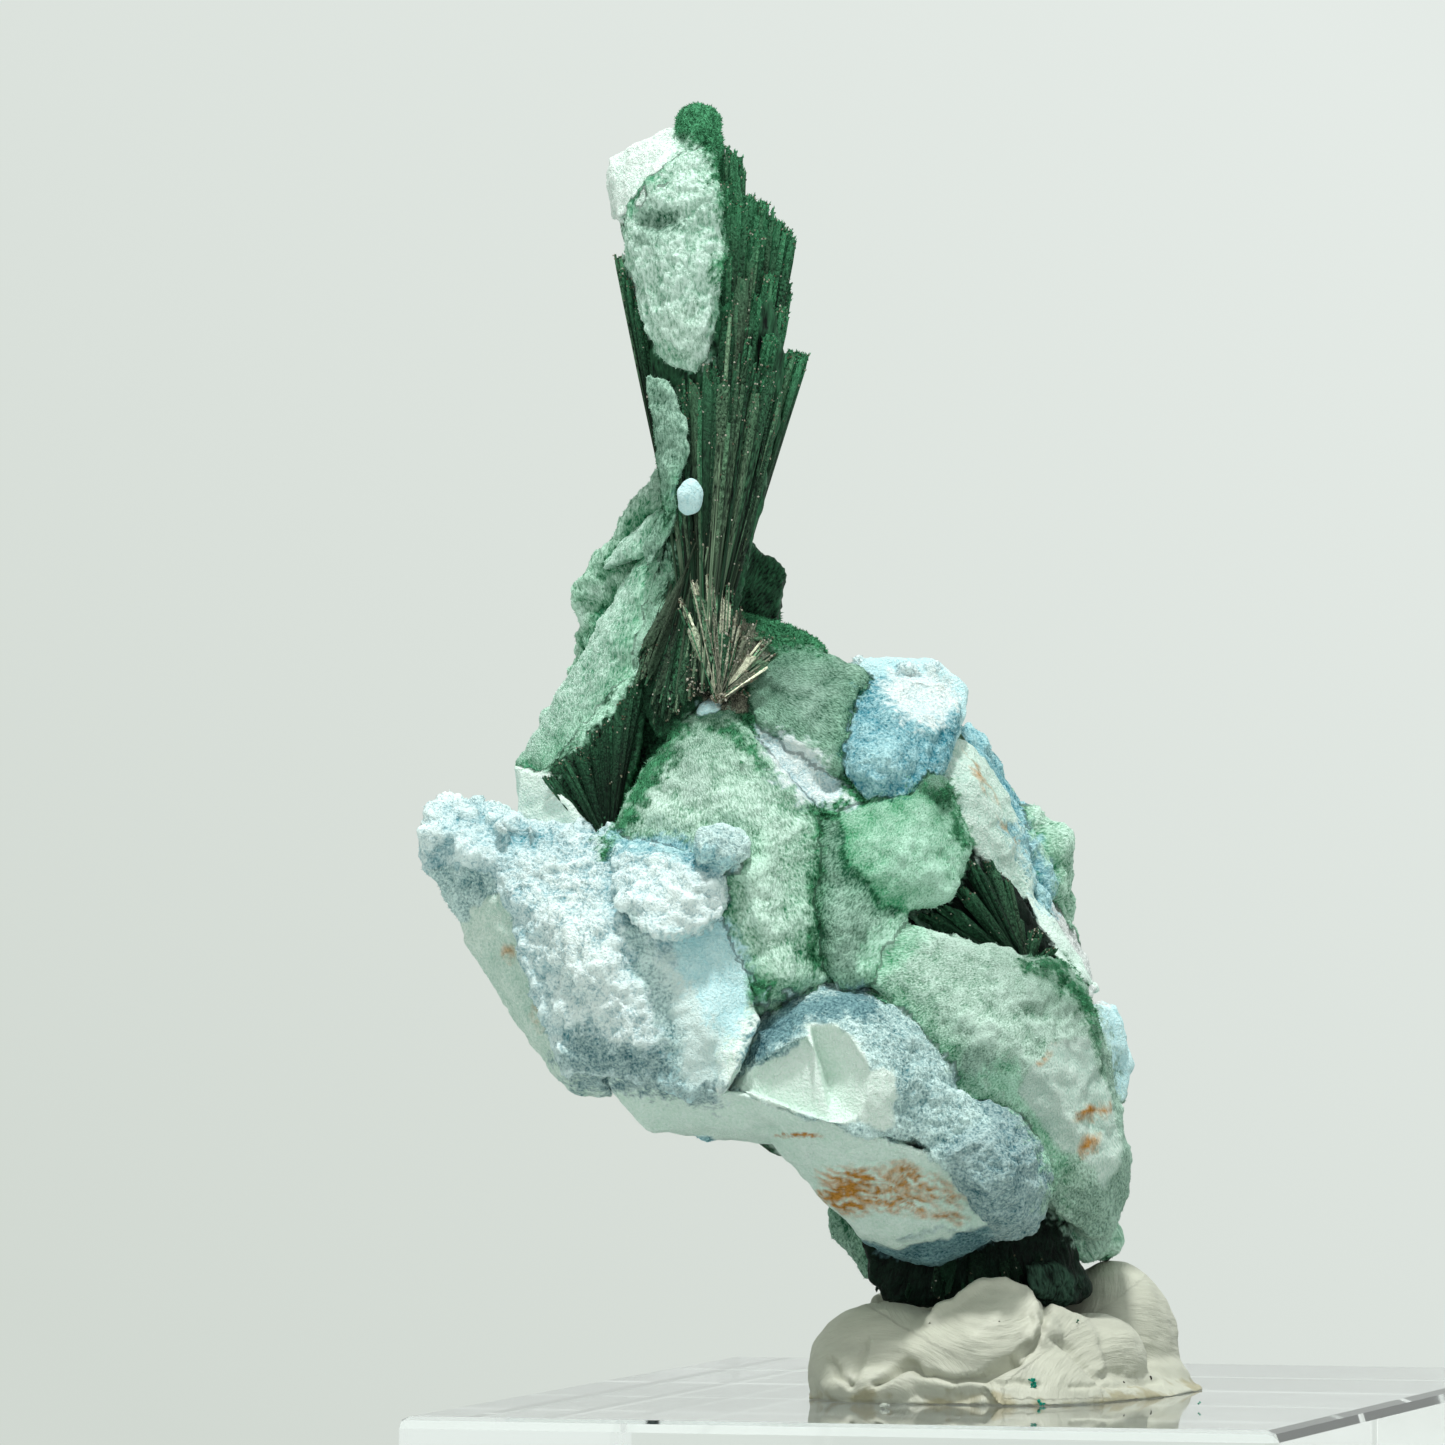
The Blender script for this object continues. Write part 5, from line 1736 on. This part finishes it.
class StageSettings(bpy.types.PropertyGroup):
    """Light and floor"""

    key_power: bpy.props.FloatProperty(
        name="Key light", description="Power of the key light", default=3.3, unit="POWER")
    fill: bpy.props.FloatProperty(
        name="Fill", description="Share of the surroundings' light that falls on it", default=0.82,
        subtype="FACTOR")
    overhead: bpy.props.FloatProperty(
        name="Overhead", description="Glow overhead, seen in polished edges", default=0.55)
    low_power: bpy.props.FloatProperty(
        name="Low light", description="Power of the light from low in front", default=0.17, unit="POWER")
    floor_colour: bpy.props.FloatVectorProperty(
        name="Floor", description="Colour of the floor", default=(0.59, 0.62, 0.60), subtype="COLOR")
    backdrop_low: bpy.props.FloatVectorProperty(
        name="Backdrop below", description="Backdrop at lower left", default=(0.640, 0.690, 0.640),
        subtype="COLOR")
    backdrop_high: bpy.props.FloatVectorProperty(
        name="Backdrop above", description="Backdrop at upper right", default=(0.780, 0.830, 0.795),
        subtype="COLOR")


class SPECIMEN_OT_stage(bpy.types.Operator):
    """Camera, key light, pale surroundings and a floor"""

    bl_idname = "specimen.stage"
    bl_label = "Stage"

    def execute(self, context):
        settings = context.scene.specimen_stage
        deselect_all()
        bpy.ops.mesh.primitive_circle_add(vertices=96, radius=FLOOR_RADIUS * MM, fill_type="NGON",
                                          location=(0.0, 0.0, -0.05 * MM))
        floor = context.object
        floor.name = "floor"
        floor.data.materials.append(floor_material(settings))
        make_world(settings)
        add_lamp("key", *KEY_LAMP, settings.key_power)
        add_lamp("low", *LOW_LAMP, settings.low_power)
        make_camera()
        context.scene.view_settings.view_transform = "Standard"
        return {"FINISHED"}


class SPECIMEN_OT_measure(bpy.types.Operator):
    """Learn the hull of every growth, which the coats need"""

    bl_idname = "specimen.measure"
    bl_label = "Measure growths"

    def execute(self, context):
        learn_planes()
        return {"FINISHED"}


class SPECIMEN_OT_lump(bpy.types.Operator):
    """One lump of the specimen, coated with its powders"""

    bl_idname = "specimen.lump"
    bl_label = "Lump"

    lump: bpy.props.StringProperty(name="Lump", description="Which lump to make", default="body")

    def execute(self, context):
        make_lump(self.lump)
        return {"FINISHED"}


class SPECIMEN_OT_blades(bpy.types.Operator):
    """Fans of fine malachite fibres"""

    bl_idname = "specimen.blades"
    bl_label = "Blades"

    def execute(self, context):
        for name, sprays in BLADE_GROUPS.items():
            make_blades(name, sprays)
        return {"FINISHED"}


class SPECIMEN_OT_pile(bpy.types.Operator):
    """Fuzz of hairs on the powders, and dust on the fibres"""

    bl_idname = "specimen.pile"
    bl_label = "Fuzz and dust"

    def execute(self, context):
        look = context.scene.specimen_look
        make_pile("green_pile", look.green_hairs, True)
        make_pile("pale_pile", look.pale_hairs, False)
        for name, (source, grains, size, near) in DUST_LAYERS.items():
            make_grit(name, bpy.data.objects[source], grains, size, near)
        return {"FINISHED"}


class SPECIMEN_OT_putty(bpy.types.Operator):
    """Grey tack pressed round the foot"""

    bl_idname = "specimen.putty"
    bl_label = "Putty"

    def execute(self, context):
        make_putty()
        make_crumbs()
        return {"FINISHED"}


class SPECIMEN_OT_block(bpy.types.Operator):
    """Clear polished block"""

    bl_idname = "specimen.block"
    bl_label = "Clear block"

    def execute(self, context):
        finish_block()
        return {"FINISHED"}


class SPECIMEN_PT_panel(bpy.types.Panel):
    """Lists the steps that build the specimen"""

    bl_idname = "SPECIMEN_PT_panel"
    bl_label = "Specimen"
    bl_space_type = "VIEW_3D"
    bl_region_type = "UI"
    bl_category = "Specimen"

    def draw(self, context):
        for step in OPERATORS:
            self.layout.operator(step.bl_idname)


OPERATORS = (SPECIMEN_OT_stage, SPECIMEN_OT_measure, SPECIMEN_OT_lump, SPECIMEN_OT_blades,
             SPECIMEN_OT_pile, SPECIMEN_OT_putty, SPECIMEN_OT_block)


def register():
    for group in (LookSettings, StageSettings, *OPERATORS, SPECIMEN_PT_panel):
        bpy.utils.register_class(group)
    bpy.types.Scene.specimen_look = bpy.props.PointerProperty(type=LookSettings)
    bpy.types.Scene.specimen_stage = bpy.props.PointerProperty(type=StageSettings)


def unregister():
    del bpy.types.Scene.specimen_stage, bpy.types.Scene.specimen_look
    for group in (SPECIMEN_PT_panel, *reversed(OPERATORS), StageSettings, LookSettings):
        bpy.utils.unregister_class(group)


def main():
    register()
    bpy.ops.specimen.stage()
    bpy.ops.specimen.measure()
    for name in LUMPS:
        bpy.ops.specimen.lump(lump=name)
    bpy.ops.specimen.blades()
    bpy.ops.specimen.pile()
    bpy.ops.specimen.putty()
    bpy.ops.specimen.block()


if __name__ == "__main__":
    main()
